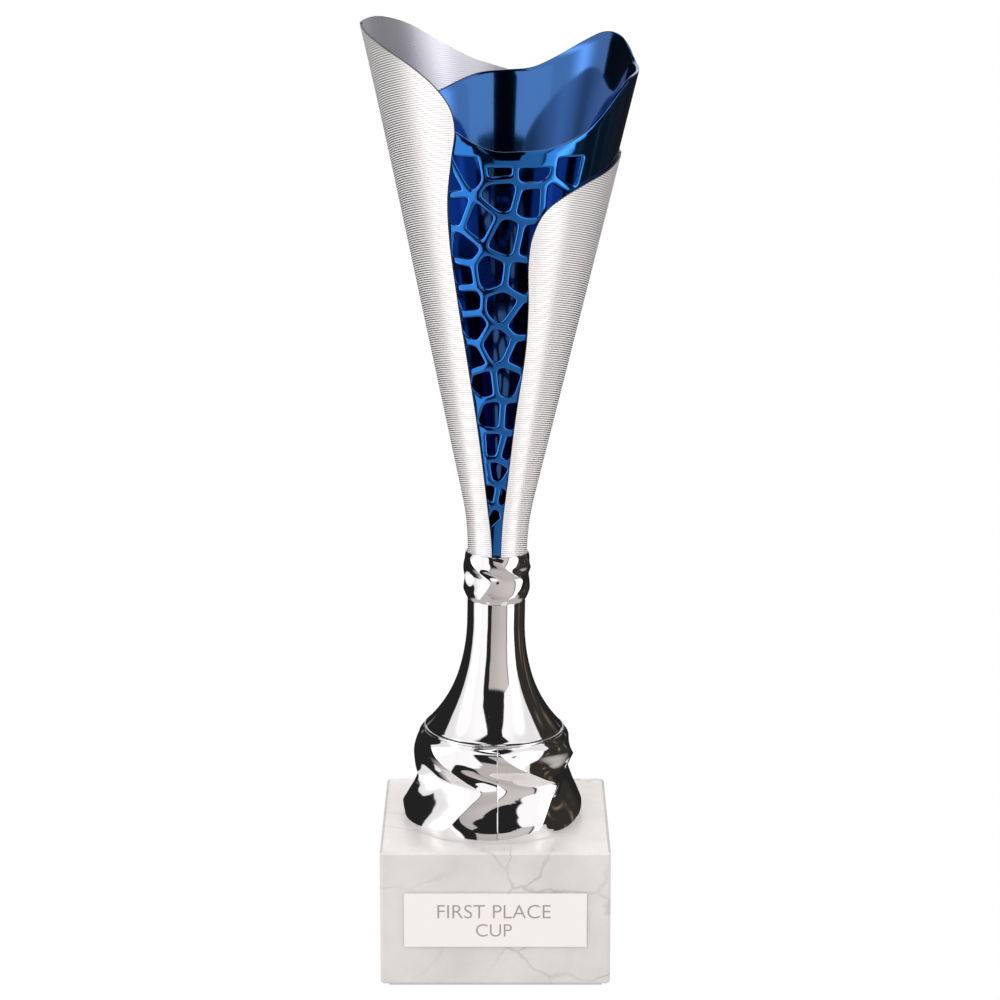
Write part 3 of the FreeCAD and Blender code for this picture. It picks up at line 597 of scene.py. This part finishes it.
def net_sheet(border, loops):
    """Triangles of the net's face between its border and its cells, on the unrolled cone."""
    low = border.min(0)
    high = border.max(0)
    xs, ys = np.meshgrid(
        np.arange(low[0], high[0], NET_SPACING), np.arange(low[1], high[1], NET_SPACING))
    xs[1::2] += NET_SPACING / 2
    spots = np.stack([xs.ravel(), ys.ravel()], -1)
    azimuth, height = roll_up(spots)
    margin, clearance, seam, overlap = 0.8, 0.45, 0.02, 0.003
    side = np.degrees(margin / wall_radius(height, LINER_DEPTH))
    free = (azimuth > NET_SIDES[0] + side) & (azimuth < NET_SIDES[1] - side)
    free &= (height > NET_LOW + margin) & (height < ledge_at(azimuth) - margin)
    free &= ~in_any_cell(spots, loops, clearance)
    spots = spots[free]
    points = [border] + loops + [spots]
    edges = []
    offset = 0
    for chain in points[:-1]:
        size = len(chain)
        edges += [(offset + k, offset + (k + 1) % size) for k in range(size)]
        offset += size
    flat = [Vector(p) for p in np.concatenate(points)]
    result = geometry.delaunay_2d_cdt(flat, edges, [], 0, 1e-5)
    flat = np.array([tuple(p) for p in result[0]])
    triangles = np.array(result[2])
    centres = flat[triangles].mean(1)
    azimuth, height = roll_up(centres)
    keep = (azimuth > NET_SIDES[0] + seam) & (azimuth < NET_SIDES[1] - seam)
    keep &= (height > NET_LOW) & (height < ledge_at(azimuth))
    keep &= ~in_any_cell(centres, loops, -overlap)
    return flat, triangles[keep]


def liner_bowl(azimuth):
    """The cup below the net: both faces of the wall, and a floor with a hole for the rod."""
    floor_top = COLLAR_FLOOR + LINER_FLOOR
    outline = [
        (float(wall_radius(height, LINER_DEPTH)), height)
        for height in np.linspace(NET_LOW, COLLAR_FLOOR, 14)
    ]
    outline += [(ROD_BORE, COLLAR_FLOOR), (ROD_BORE, floor_top)]
    outline += [
        (float(wall_radius(height, LINER_DEPTH + LINER_WALL)), height)
        for height in np.linspace(floor_top, NET_LOW, 12)
    ]
    rows = [polar(radius, azimuth, height) for radius, height in outline]
    return np.concatenate(rows), ring_faces(len(rows), len(azimuth), False)


def liner_wall(azimuth, depth):
    """One face of the wall above the bowl, beside and behind the net."""
    share = np.linspace(0, 1, LINER_ROWS)[:, None]
    height = NET_LOW + share * (ledge_at(azimuth) - NET_LOW)
    grid = polar(wall_radius(height, depth), azimuth, height)
    faces = []
    for face in ring_faces(LINER_ROWS, len(azimuth), False):
        column = face[0] % len(azimuth)
        if not NET_SIDES[0] <= azimuth[column] < NET_SIDES[1] - 0.1:
            faces.append(face)
    return grid.reshape(-1, 3), faces


def liner_lip(azimuth):
    """The rounded rim that joins the wall's two faces."""
    outer, inner = LINER_DEPTH, LINER_DEPTH + LINER_WALL
    section = [
        (outer, LIP), (outer + 0.3 * LIP, 0.3 * LIP), (outer + LIP, 0.0),
        (inner - LIP, 0.0), (inner - 0.3 * LIP, 0.3 * LIP), (inner, LIP),
    ]
    rows = []
    for depth, drop in section:
        height = rim_at(azimuth) - drop
        rows.append(polar(wall_radius(height, depth), azimuth, height))
    return np.concatenate(rows), ring_faces(len(rows), len(azimuth), False)


def net_border(azimuth):
    """The net's border on the unrolled cone, on the points that the walls beside it have."""
    front = azimuth[(azimuth >= NET_SIDES[0]) & (azimuth <= NET_SIDES[1])]
    top = ledge_at(front)
    share = np.linspace(0, 1, LINER_ROWS)[1:-1]
    left_side = NET_LOW + share * (top[0] - NET_LOW)
    right_side = NET_LOW + share * (top[-1] - NET_LOW)
    return np.concatenate([
        unroll(front, NET_LOW), unroll(front[-1], right_side),
        unroll(front, top)[::-1], unroll(front[0], left_side)[::-1],
    ])


def cell_edge(rings):
    """The rounded edge of one opening, from the outer face to the inner one."""
    rows = []
    for ring, (_, share) in zip(rings, STRUT_SECTION):
        azimuth, height = roll_up(ring)
        rows.append(polar(wall_radius(height, LINER_DEPTH + share * LINER_WALL), azimuth, height))
    return np.concatenate(rows), ring_faces(len(rows), CELL_POINTS, False)


def make_liner():
    """The inner cup, in stretches that share their border points and are welded there."""
    azimuth = np.arange(-180.0, 180.0, LINER_STEP)
    depths = (LINER_DEPTH, LINER_DEPTH + LINER_WALL)
    cells = [cell_rings(seed, OPEN_CELLS + BLIND_CELLS) for seed in OPEN_CELLS]
    stretches = [liner_bowl(azimuth)]
    stretches += [liner_wall(azimuth, depth) for depth in depths]
    stretches.append(liner_lip(azimuth))
    border = net_border(azimuth)
    for depth, ring in zip(depths, (0, -1)):
        flat, triangles = net_sheet(border, [cell[ring] for cell in cells])
        around, height = roll_up(flat)
        stretches.append((polar(wall_radius(height, depth), around, height), triangles.tolist()))
    stretches += [cell_edge(cell) for cell in cells]
    faces = []
    count = 0
    for points, own_faces in stretches:
        faces += [tuple(count + corner for corner in face) for face in own_faces]
        count += len(points)
    return add_piece(
        "blue_liner", np.concatenate([points for points, _ in stretches]), faces,
        ON_SEAT, "blue_liner", 70)


# ---- materials ------------------------------------------------------------------------------

def new_material(name, **inputs):
    """A Principled material with plain values on its own sockets."""
    material = bpy.data.materials.new(name)
    material.use_nodes = True
    shader = material.node_tree.nodes["Principled BSDF"]
    for key, value in inputs.items():
        shader.inputs[key.replace("_", " ")].default_value = value
    return material


def add_node(material, kind, **settings):
    """A node whose settings are its own or, under the sockets' names, plain input values."""
    node = material.node_tree.nodes.new(kind)
    for key, value in settings.items():
        socket = key.replace("_", " ")
        if socket in node.inputs:
            node.inputs[socket].default_value = value
        else:
            setattr(node, key, value)
    return node


def connect(material, *pairs):
    for source, target in pairs:
        material.node_tree.links.new(source, target)


def object_place(material):
    return add_node(material, "ShaderNodeTexCoord").outputs["Object"]


def add_bump(material, height, strength, distance):
    """Bump on the material's shader from a height output."""
    bump = add_node(material, "ShaderNodeBump", Strength=strength, Distance=distance)
    shader = material.node_tree.nodes["Principled BSDF"]
    connect(material, (height, bump.inputs["Height"]), (bump.outputs[0], shader.inputs["Normal"]))


def add_roughness(material, source, low, high):
    """Roughness that follows a 0 to 1 output between two values."""
    spread = add_node(material, "ShaderNodeMapRange", To_Min=low, To_Max=high)
    shader = material.node_tree.nodes["Principled BSDF"]
    connect(
        material, (source, spread.inputs["Value"]), (spread.outputs[0], shader.inputs["Roughness"]))


def chrome(name):
    """Plated plastic: a mirror with the faint waviness of moulding and a few dull patches."""
    material = new_material(name, Base_Color=(0.90, 0.89, 0.90, 1), Metallic=1.0, Roughness=0.04)
    place = object_place(material)
    swell = add_node(material, "ShaderNodeTexNoise", Scale=140.0, Detail=1.5)
    haze = add_node(material, "ShaderNodeTexNoise", Scale=420.0, Detail=3.0)
    connect(material, (place, swell.inputs["Vector"]), (place, haze.inputs["Vector"]))
    add_bump(material, swell.outputs["Fac"], 0.12, 0.0006)
    add_roughness(material, haze.outputs["Fac"], 0.02, 0.07)
    return material


def add_parting_line(material, line):
    """The mould's parting line down the front: a thin ridge between two faces that differ."""
    shader = material.node_tree.nodes["Principled BSDF"]
    first = shader.inputs["Normal"].links[0].from_node
    spread = add_node(material, "ShaderNodeSeparateXYZ")
    shift = add_node(material, "ShaderNodeMath", operation="SUBTRACT")
    shift.inputs[1].default_value = line * MM
    away = add_node(material, "ShaderNodeMath", operation="ABSOLUTE")
    slopes = add_node(
        material, "ShaderNodeMapRange", From_Max=4.0 * MM, To_Min=1.0, To_Max=0.0)
    ridge = add_node(
        material, "ShaderNodeMapRange", From_Max=0.16 * MM, To_Min=0.12, To_Max=0.0)
    total = add_node(material, "ShaderNodeMath", operation="MULTIPLY_ADD")
    bump = add_node(material, "ShaderNodeBump", Strength=1.0, Distance=0.22 * MM)
    connect(
        material,
        (object_place(material), spread.inputs[0]), (spread.outputs["X"], shift.inputs[0]),
        (shift.outputs[0], away.inputs[0]), (away.outputs[0], slopes.inputs["Value"]),
        (away.outputs[0], ridge.inputs["Value"]), (slopes.outputs[0], total.inputs[0]),
        (slopes.outputs[0], total.inputs[1]), (ridge.outputs[0], total.inputs[2]),
        (total.outputs[0], bump.inputs["Height"]),
        (first.outputs[0], bump.inputs["Normal"]), (bump.outputs[0], shader.inputs["Normal"]),
    )
    return material


def blue_lacquer(name, color):
    """Tinted lacquer over plated plastic: a coloured mirror under a clear coat."""
    material = new_material(
        name, Base_Color=(*color, 1), Metallic=1.0, Roughness=0.08,
        Coat_Weight=0.6, Coat_Roughness=0.04)
    place = object_place(material)
    haze = add_node(material, "ShaderNodeTexNoise", Scale=300.0, Detail=3.0)
    swell = add_node(material, "ShaderNodeTexNoise", Scale=60.0, Detail=1.0)
    connect(material, (place, haze.inputs["Vector"]), (place, swell.inputs["Vector"]))
    add_roughness(material, haze.outputs["Fac"], 0.05, 0.12)
    add_bump(material, swell.outputs["Fac"], 0.05, 0.0006)
    return material


def ribbed_silver(name, light, groove_shade, metal):
    """Silver sheet: frosted on its ribs and mirror-like in its grooves, which tilt up in front."""
    material = new_material(name, Metallic=metal, Roughness=0.3)
    shader = material.node_tree.nodes["Principled BSDF"]
    place = object_place(material)
    axis = ON_SEAT.to_3x3() @ Vector((0, RIB_TILT, 1))
    start = axis.dot(ON_SEAT.translation) + LOWEST_RIB
    along = add_node(material, "ShaderNodeVectorMath", operation="DOT_PRODUCT")
    along.inputs[1].default_value = axis
    turns = add_node(material, "ShaderNodeMath", operation="MULTIPLY_ADD")
    turns.inputs[1].default_value = 2 * math.pi / (RIB_PITCH * MM)
    turns.inputs[2].default_value = -2 * math.pi * start / RIB_PITCH
    swing = add_node(material, "ShaderNodeMath", operation="COSINE")
    share = add_node(material, "ShaderNodeMapRange", From_Min=-0.4, From_Max=0.4)
    plating = add_node(material, "ShaderNodeMapRange", To_Min=metal)
    # The grooves' colour is darker and pinker than the ribs': painted shade in the grooves.
    paint = add_node(
        material, "ShaderNodeMix", data_type="RGBA", A=(*light, 1), B=(*groove_shade, 1))
    grain = add_node(material, "ShaderNodeTexNoise", Scale=1500.0, Detail=2.0)
    connect(
        material,
        (place, grain.inputs["Vector"]), (place, along.inputs[0]),
        (along.outputs["Value"], turns.inputs[0]), (turns.outputs[0], swing.inputs[0]),
        (swing.outputs[0], share.inputs["Value"]), (share.outputs[0], paint.inputs["Factor"]),
        (share.outputs[0], plating.inputs["Value"]),
        (plating.outputs[0], shader.inputs["Metallic"]),
        (paint.outputs["Result"], shader.inputs["Base Color"]),
    )
    add_roughness(material, grain.outputs["Fac"], 0.24, 0.36)
    add_bump(material, grain.outputs["Fac"], 0.15, 0.0001)
    return material


def marble():
    """White marble: cloudy body, thin warped grey veins and a soft polish."""
    material = new_material("marble", Roughness=0.22, Specular_IOR_Level=0.5)
    shader = material.node_tree.nodes["Principled BSDF"]
    place = object_place(material)
    warp = add_node(material, "ShaderNodeTexNoise", Scale=28.0, Detail=5.0)
    mix_place = add_node(material, "ShaderNodeVectorMath", operation="MULTIPLY_ADD")
    mix_place.inputs[1].default_value = (0.035, 0.035, 0.035)
    cracks = add_node(
        material, "ShaderNodeTexVoronoi", feature="DISTANCE_TO_EDGE", Scale=46.0)
    vein = add_node(material, "ShaderNodeMapRange", From_Max=0.03)
    cloud = add_node(material, "ShaderNodeTexNoise", Scale=55.0, Detail=6.0, Roughness=0.6)
    thin = add_node(material, "ShaderNodeTexNoise", Scale=36.0, Detail=2.0)
    body = add_node(material, "ShaderNodeValToRGB")
    dark_end, light_end = body.color_ramp.elements
    dark_end.position = 0.3
    dark_end.color = (0.60, 0.565, 0.55, 1)
    light_end.position = 0.65
    light_end.color = (0.68, 0.65, 0.635, 1)
    fade = add_node(
        material, "ShaderNodeMapRange", From_Min=0.42, From_Max=0.62, To_Max=0.5)
    strength = add_node(material, "ShaderNodeMath", operation="SUBTRACT")
    strength.inputs[0].default_value = 1.0
    amount = add_node(material, "ShaderNodeMath", operation="MULTIPLY")
    paint = add_node(
        material, "ShaderNodeMix", data_type="RGBA", B=(0.34, 0.31, 0.30, 1))
    connect(
        material,
        (place, warp.inputs["Vector"]), (warp.outputs["Color"], mix_place.inputs[0]),
        (place, mix_place.inputs[2]), (mix_place.outputs[0], cracks.inputs["Vector"]),
        (cracks.outputs["Distance"], vein.inputs["Value"]), (vein.outputs[0], strength.inputs[1]),
        (place, cloud.inputs["Vector"]), (place, thin.inputs["Vector"]),
        (thin.outputs["Fac"], fade.inputs["Value"]),
        (strength.outputs[0], amount.inputs[0]), (fade.outputs[0], amount.inputs[1]),
        (cloud.outputs["Fac"], body.inputs[0]), (body.outputs[0], paint.inputs["A"]),
        (amount.outputs[0], paint.inputs["Factor"]),
        (paint.outputs["Result"], shader.inputs["Base Color"]),
    )
    add_roughness(material, cloud.outputs["Fac"], 0.18, 0.32)
    return material


def grained(name, color, metallic, low, high, scale, strength):
    """A plain finish with a fine grain in its roughness and surface."""
    material = new_material(name, Base_Color=(*color, 1), Metallic=metallic)
    place = object_place(material)
    grain = add_node(material, "ShaderNodeTexNoise", Scale=scale, Detail=4.0)
    connect(material, (place, grain.inputs["Vector"]))
    add_roughness(material, grain.outputs["Fac"], low, high)
    add_bump(material, grain.outputs["Fac"], strength, 0.0002)
    return material


def dress(piece, *materials):
    """Give a piece its materials, of which the first is on every face to begin with."""
    piece.data.materials.clear()
    for material in materials:
        piece.data.materials.append(material)


def outwardness(face):
    """1 on a face of the cup that looks away from its axis, -1 on one that looks towards it."""
    outward = (face.center - ON_SEAT.translation * MM).xy
    return face.normal.xy.dot(outward) / outward.length


# ---- plate lettering ------------------------------------------------------------------------

# The height of a capital as a share of the font's size, in the font that Blender brings.
CAPITAL_SHARE = 0.69
LINE_THICKNESS = 0.015
LINE_SHIFT = -0.5


def add_line(name, words, height, level, material):
    """A thin raised line of capitals, its foot so far above the plate's middle."""
    low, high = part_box("engraving_plate")
    curve = bpy.data.curves.new(name, "FONT")
    curve.body = words
    curve.size = height * MM / CAPITAL_SHARE
    curve.extrude = LINE_THICKNESS * MM
    curve.align_x = "CENTER"
    curve.offset = -0.05 * MM
    line = bpy.data.objects.new(name, curve)
    middle = (low.z + high.z) / 2
    line.location = (LINE_SHIFT * MM, low.y - LINE_THICKNESS * MM, middle + level * MM)
    line.rotation_euler = (math.radians(90), 0, 0)
    bpy.context.scene.collection.objects.link(line)
    line.data.materials.append(material)
    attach(line, "root")
    return line


# ---- studio ---------------------------------------------------------------------------------

def soft(value, low, high):
    """0 up to low, 1 from high on, and smooth between."""
    share = np.clip((value - low) / (high - low), 0.0, 1.0)
    return share * share * (3 - 2 * share)


def band(value, low, high, blur):
    """1 between two values and 0 outside them, with blurred ends."""
    return soft(value, low - blur, low + blur) * (1 - soft(value, high - blur, high + blur))


# Lamps and frames at the right of the room: azimuth, elevation, half width, half height, power.
GLINTS = [
    (104, -12, 2, 6, 0.25), (111, 22, 3, 4, 0.12), (120, -2, 2, 9, 0.2), (133, 12, 4, 4, 0.12),
    (98, 38, 5, 3, 0.1), (126, 34, 2, 5, 0.15), (84, -25, 3, 4, 0.1),
]


def softboxes(azimuth, elevation):
    """Two tall softboxes with bright cores, left and right of the camera."""
    left_end = np.interp(elevation, [-20, 0, 30, 60], [-100, -99, -109, -116])
    left_edge = np.interp(
        elevation, [-60, 12, 34, 50, 60, 63, 66], [-33, -34, -31, -19, -17, -38, -90])
    right_edge = np.interp(
        elevation, [-60, -20, 14, 22, 34, 56, 60, 63, 66], [44, 44, 43, 29, 27, 23, 26, 47, 90])
    right_end = np.interp(elevation, [0, 20, 40, 60], [76, 88, 106, 116])
    high = soft(elevation, -52, -44) * (1 - soft(elevation, 60, 66))
    left = band(azimuth, left_end, left_edge, 1.2) * high
    right = band(azimuth, right_edge, right_end, 1.2) * high
    lit = band(elevation, -42, 46, 8)
    left_core = 1.6 * lit * np.exp(-((azimuth + 77) / 9) ** 2)
    right_core = 1.5 * lit * np.exp(-((azimuth - 64) / 8) ** 2)
    left = left * (0.85 + 0.22 * soft(azimuth, -100, -40) + left_core)
    right = right * (1.06 - 0.22 * soft(azimuth, 40, 75) + right_core)
    return np.maximum(left, right)


def grey_card(azimuth, elevation):
    """A card between the softboxes, with a ragged top and a part cut off at its lower left."""
    ragged = 0.9 * np.sin(1.9 * azimuth) + 0.6 * np.sin(4.7 * azimuth + 1)
    low = soft(-elevation, 20, 28)
    card = band(azimuth, -18 + 6 * low, 41, 0.7)
    card = card * (1 - soft(elevation, 20 + ragged, 21.5 + ragged))
    return card * (0.36 + 0.14 * soft(azimuth, -20, 35) + 0.12 * soft(elevation, -40, 10))


def room_clutter(azimuth, elevation):
    """A dim haze on the right, with small lamps in it."""
    haze = 0.015 * band(azimuth, 78, 140, 4) * band(elevation, -50, 45, 10)
    for lamp_azimuth, lamp_elevation, width, height, power in GLINTS:
        haze = haze + power * np.exp(
            -((azimuth - lamp_azimuth) / width) ** 2
            - ((elevation - lamp_elevation) / height) ** 2)
    return haze


def room_light(azimuth, elevation):
    """What the mirrors see in a direction of the dark room round the trophy."""
    white = np.array([1.0, 0.985, 0.99])
    tan = np.array([1.0, 0.93, 0.9])
    gold = np.array([1.0, 0.8, 0.5])
    backdrop = soft(np.abs(azimuth), 161, 168) * band(elevation, 9, 40, 3) * 0.9
    strips = band(np.abs(azimuth), 150, 157, 1.5) * band(elevation, 6, 60, 5) * 0.6
    table = soft(-elevation, 30, 40) * 0.5
    bright = np.maximum.reduce([softboxes(azimuth, elevation), strips, backdrop])
    plain = np.maximum(grey_card(azimuth, elevation), table)
    light = np.maximum(bright[..., None] * white, plain[..., None] * tan)
    light = light + room_clutter(azimuth, elevation)[..., None] * gold
    return light + 0.018


def glowing(name, strength=1.0):
    """A surface that shines evenly but isn't sampled as a lamp."""
    material = bpy.data.materials.new(name)
    material.use_nodes = True
    material.node_tree.nodes.clear()
    glow = add_node(material, "ShaderNodeEmission", Strength=strength)
    out = add_node(material, "ShaderNodeOutputMaterial")
    connect(material, (glow.outputs[0], out.inputs["Surface"]))
    material.cycles.emission_sampling = "NONE"
    return material


def add_prop(name, points, faces, material, only_mirrors):
    """A surface of the studio, in millimetres, that only mirrors see or only mirrors miss."""
    mesh = bpy.data.meshes.new(name)
    mesh.from_pydata((np.array(points) * MM).tolist(), [], faces)
    mesh.materials.append(material)
    prop = bpy.data.objects.new(name, mesh)
    bpy.context.scene.collection.objects.link(prop)
    for rays in ("camera", "diffuse", "shadow", "transmission", "volume_scatter"):
        setattr(prop, "visible_" + rays, not only_mirrors)
    prop.visible_glossy = only_mirrors
    return prop


def add_card(name, left, right, low, brightness):
    """An upright panel close in front of the cup's mouth, which only its inside mirrors."""
    y, high = -74.0, 335.0
    corners = [(left, y, low), (right, y, low), (right, y, high), (left, y, high)]
    add_prop(name, corners, [(0, 1, 2, 3)], glowing(name, brightness), True)


def add_room():
    """A sphere round the trophy, painted with the room's light, which only mirrors see."""
    rows, columns, radius, middle = 241, 720, 1500.0, 120.0
    elevation = np.linspace(-90, 90, rows)
    azimuth = np.arange(columns) * 360.0 / columns - 180.0
    level = radius * np.sin(np.radians(elevation))
    spread = radius * np.cos(np.radians(elevation))
    points = polar(spread[:, None], azimuth[None, :], level[:, None]).reshape(-1, 3)
    light = room_light(azimuth[None, :], elevation[:, None]).reshape(-1, 3)
    material = glowing("room")
    painted = add_node(material, "ShaderNodeAttribute", attribute_name="light")
    glow = material.node_tree.nodes["Emission"]
    connect(material, (painted.outputs["Color"], glow.inputs["Color"]))
    room = add_prop("room", points, ring_faces(rows, columns, False), material, True)
    room.location.z = middle * MM
    paint = room.data.color_attributes.new("light", "FLOAT_COLOR", "POINT")
    paint.data.foreach_set("color", np.hstack([light, np.ones((len(light), 1))]).ravel())


def add_floor():
    """A white ground that shines evenly, so that no edge of it shows."""
    half = 3000.0
    corners = [(-half, -half, 0), (half, -half, 0), (half, half, 0), (-half, half, 0)]
    add_prop("floor", corners, [(0, 1, 2, 3)], glowing("floor"), False)


def add_area(name, place, aim, size, power):
    """A square lamp that no mirror shows."""
    data = bpy.data.lights.new(name, "AREA")
    data.size = size
    data.energy = power
    lamp = bpy.data.objects.new(name, data)
    lamp.location = place
    lamp.rotation_euler = (Vector(aim) - Vector(place)).to_track_quat("-Z", "Y").to_euler()
    lamp.visible_glossy = False
    bpy.context.scene.collection.objects.link(lamp)


def add_studio():
    """A white world and floor, the mirrors' room, three cards for the cup and three lamps."""
    scene = bpy.context.scene
    world = bpy.data.worlds.new("studio")
    world.use_nodes = True
    background = world.node_tree.nodes["Background"]
    background.inputs["Color"].default_value = (1, 1, 1, 1)
    background.inputs["Strength"].default_value = 1.0
    scene.world = world
    scene.view_settings.view_transform = "Standard"
    add_floor()
    add_room()
    dark_left, dark_right = -13.6, 22.9
    add_card("left_card", -90.0, dark_left, 272.0, 1.25)
    add_card("middle_card", dark_left, dark_right, 212.0, 0.006)
    add_card("right_card", dark_right, 75.0, 272.0, 1.25)
    add_area("key", (-0.7, -0.8, 1.1), (0, 0, 0.12), 0.7, 3.5)
    add_area("fill", (0.8, -0.6, 0.8), (0, 0, 0.12), 0.8, 1.5)
    add_area("ceiling", (0.0, 0.15, 1.2), (0, 0, 0.04), 0.6, 6.5)


def add_camera():
    """Set 0.87 m in front and a third of a metre up, pitched down, with a long lens."""
    data = bpy.data.cameras.new("camera")
    data.sensor_width = 36.0
    data.lens = 113.26
    camera = bpy.data.objects.new("camera", data)
    camera.location = (0.00133, -0.8745, 0.3477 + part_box("felt_pad")[1].z)
    camera.rotation_euler = (math.radians(90 - 13.69), 0, 0)
    bpy.context.scene.collection.objects.link(camera)
    bpy.context.scene.camera = camera


# ---- the trophy -----------------------------------------------------------------------------

add_camera()
add_studio()

dress(make_foot(), add_parting_line(chrome("chrome_foot"), 0.62))
dress(make_collar(), chrome("chrome_collar"))
dress(make_stem(), chrome("chrome_stem"))
wrap = make_wrap()
dress(
    wrap,
    ribbed_silver("ribbed_silver", (0.97, 0.945, 0.95), (0.92, 0.88, 0.88), 0.1),
    # A darker, bluish copy of the silver for the sheet's inside faces: painted shade.
    ribbed_silver("ribbed_inside_shaded", (0.68, 0.67, 0.74), (0.68, 0.67, 0.74), 0.4),
    # Near-black edge faces of the silver sheet: painted shade.
    grained("cut_edge_shaded", (0.1, 0.1, 0.105), 0.6, 0.3, 0.45, 900.0, 0.1),
)
# Faces that look inward take the painted-shade copy; edge faces take the near-black edge, also
# painted shade.
for face in wrap.data.polygons:
    facing = outwardness(face)
    if facing < 0.5:
        face.material_index = 1 if facing < -0.5 else 2
liner = make_liner()
dress(
    liner,
    blue_lacquer("blue_outside", (0.006, 0.18, 0.64)),
    # A darker, more purple copy of the lacquer for the inward faces: painted shade inside the cup.
    blue_lacquer("blue_inside_shaded", (0.025, 0.12, 0.37)),
)
# Faces that look towards the axis take the painted-shade copy.
for face in liner.data.polygons:
    if outwardness(face) < 0:
        face.material_index = 1

dress(nodes["marble_plinth"], marble())
dress(nodes["engraving_plate"], grained("plate", (0.82, 0.78, 0.765), 0.0, 0.3, 0.42, 900.0, 0.1))
dress(nodes["plate_tape"], grained("tape", (0.8, 0.8, 0.8), 0.0, 0.7, 0.8, 900.0, 0.1))
dress(nodes["felt_pad"], grained("felt", (0.55, 0.54, 0.53), 0.0, 0.85, 1.0, 2500.0, 0.6))
dress(nodes["neck_bush"], grained("bush", (0.03, 0.03, 0.03), 0.0, 0.5, 0.65, 600.0, 0.2))
zinc = grained("zinc_steel", (0.62, 0.63, 0.65), 1.0, 0.22, 0.4, 700.0, 0.15)
for name in ("base_washer", "base_nut", "cup_washer", "cup_nut", "tie_rod"):
    dress(nodes[name], zinc)

ink = grained("ink", (0.34, 0.29, 0.27), 0.0, 0.45, 0.6, 900.0, 0.1)
add_line("plate_line_1", "FIRST PLACE", 4.1, 0.6, ink)
add_line("plate_line_2", "CUP", 3.8, -4.9, ink)
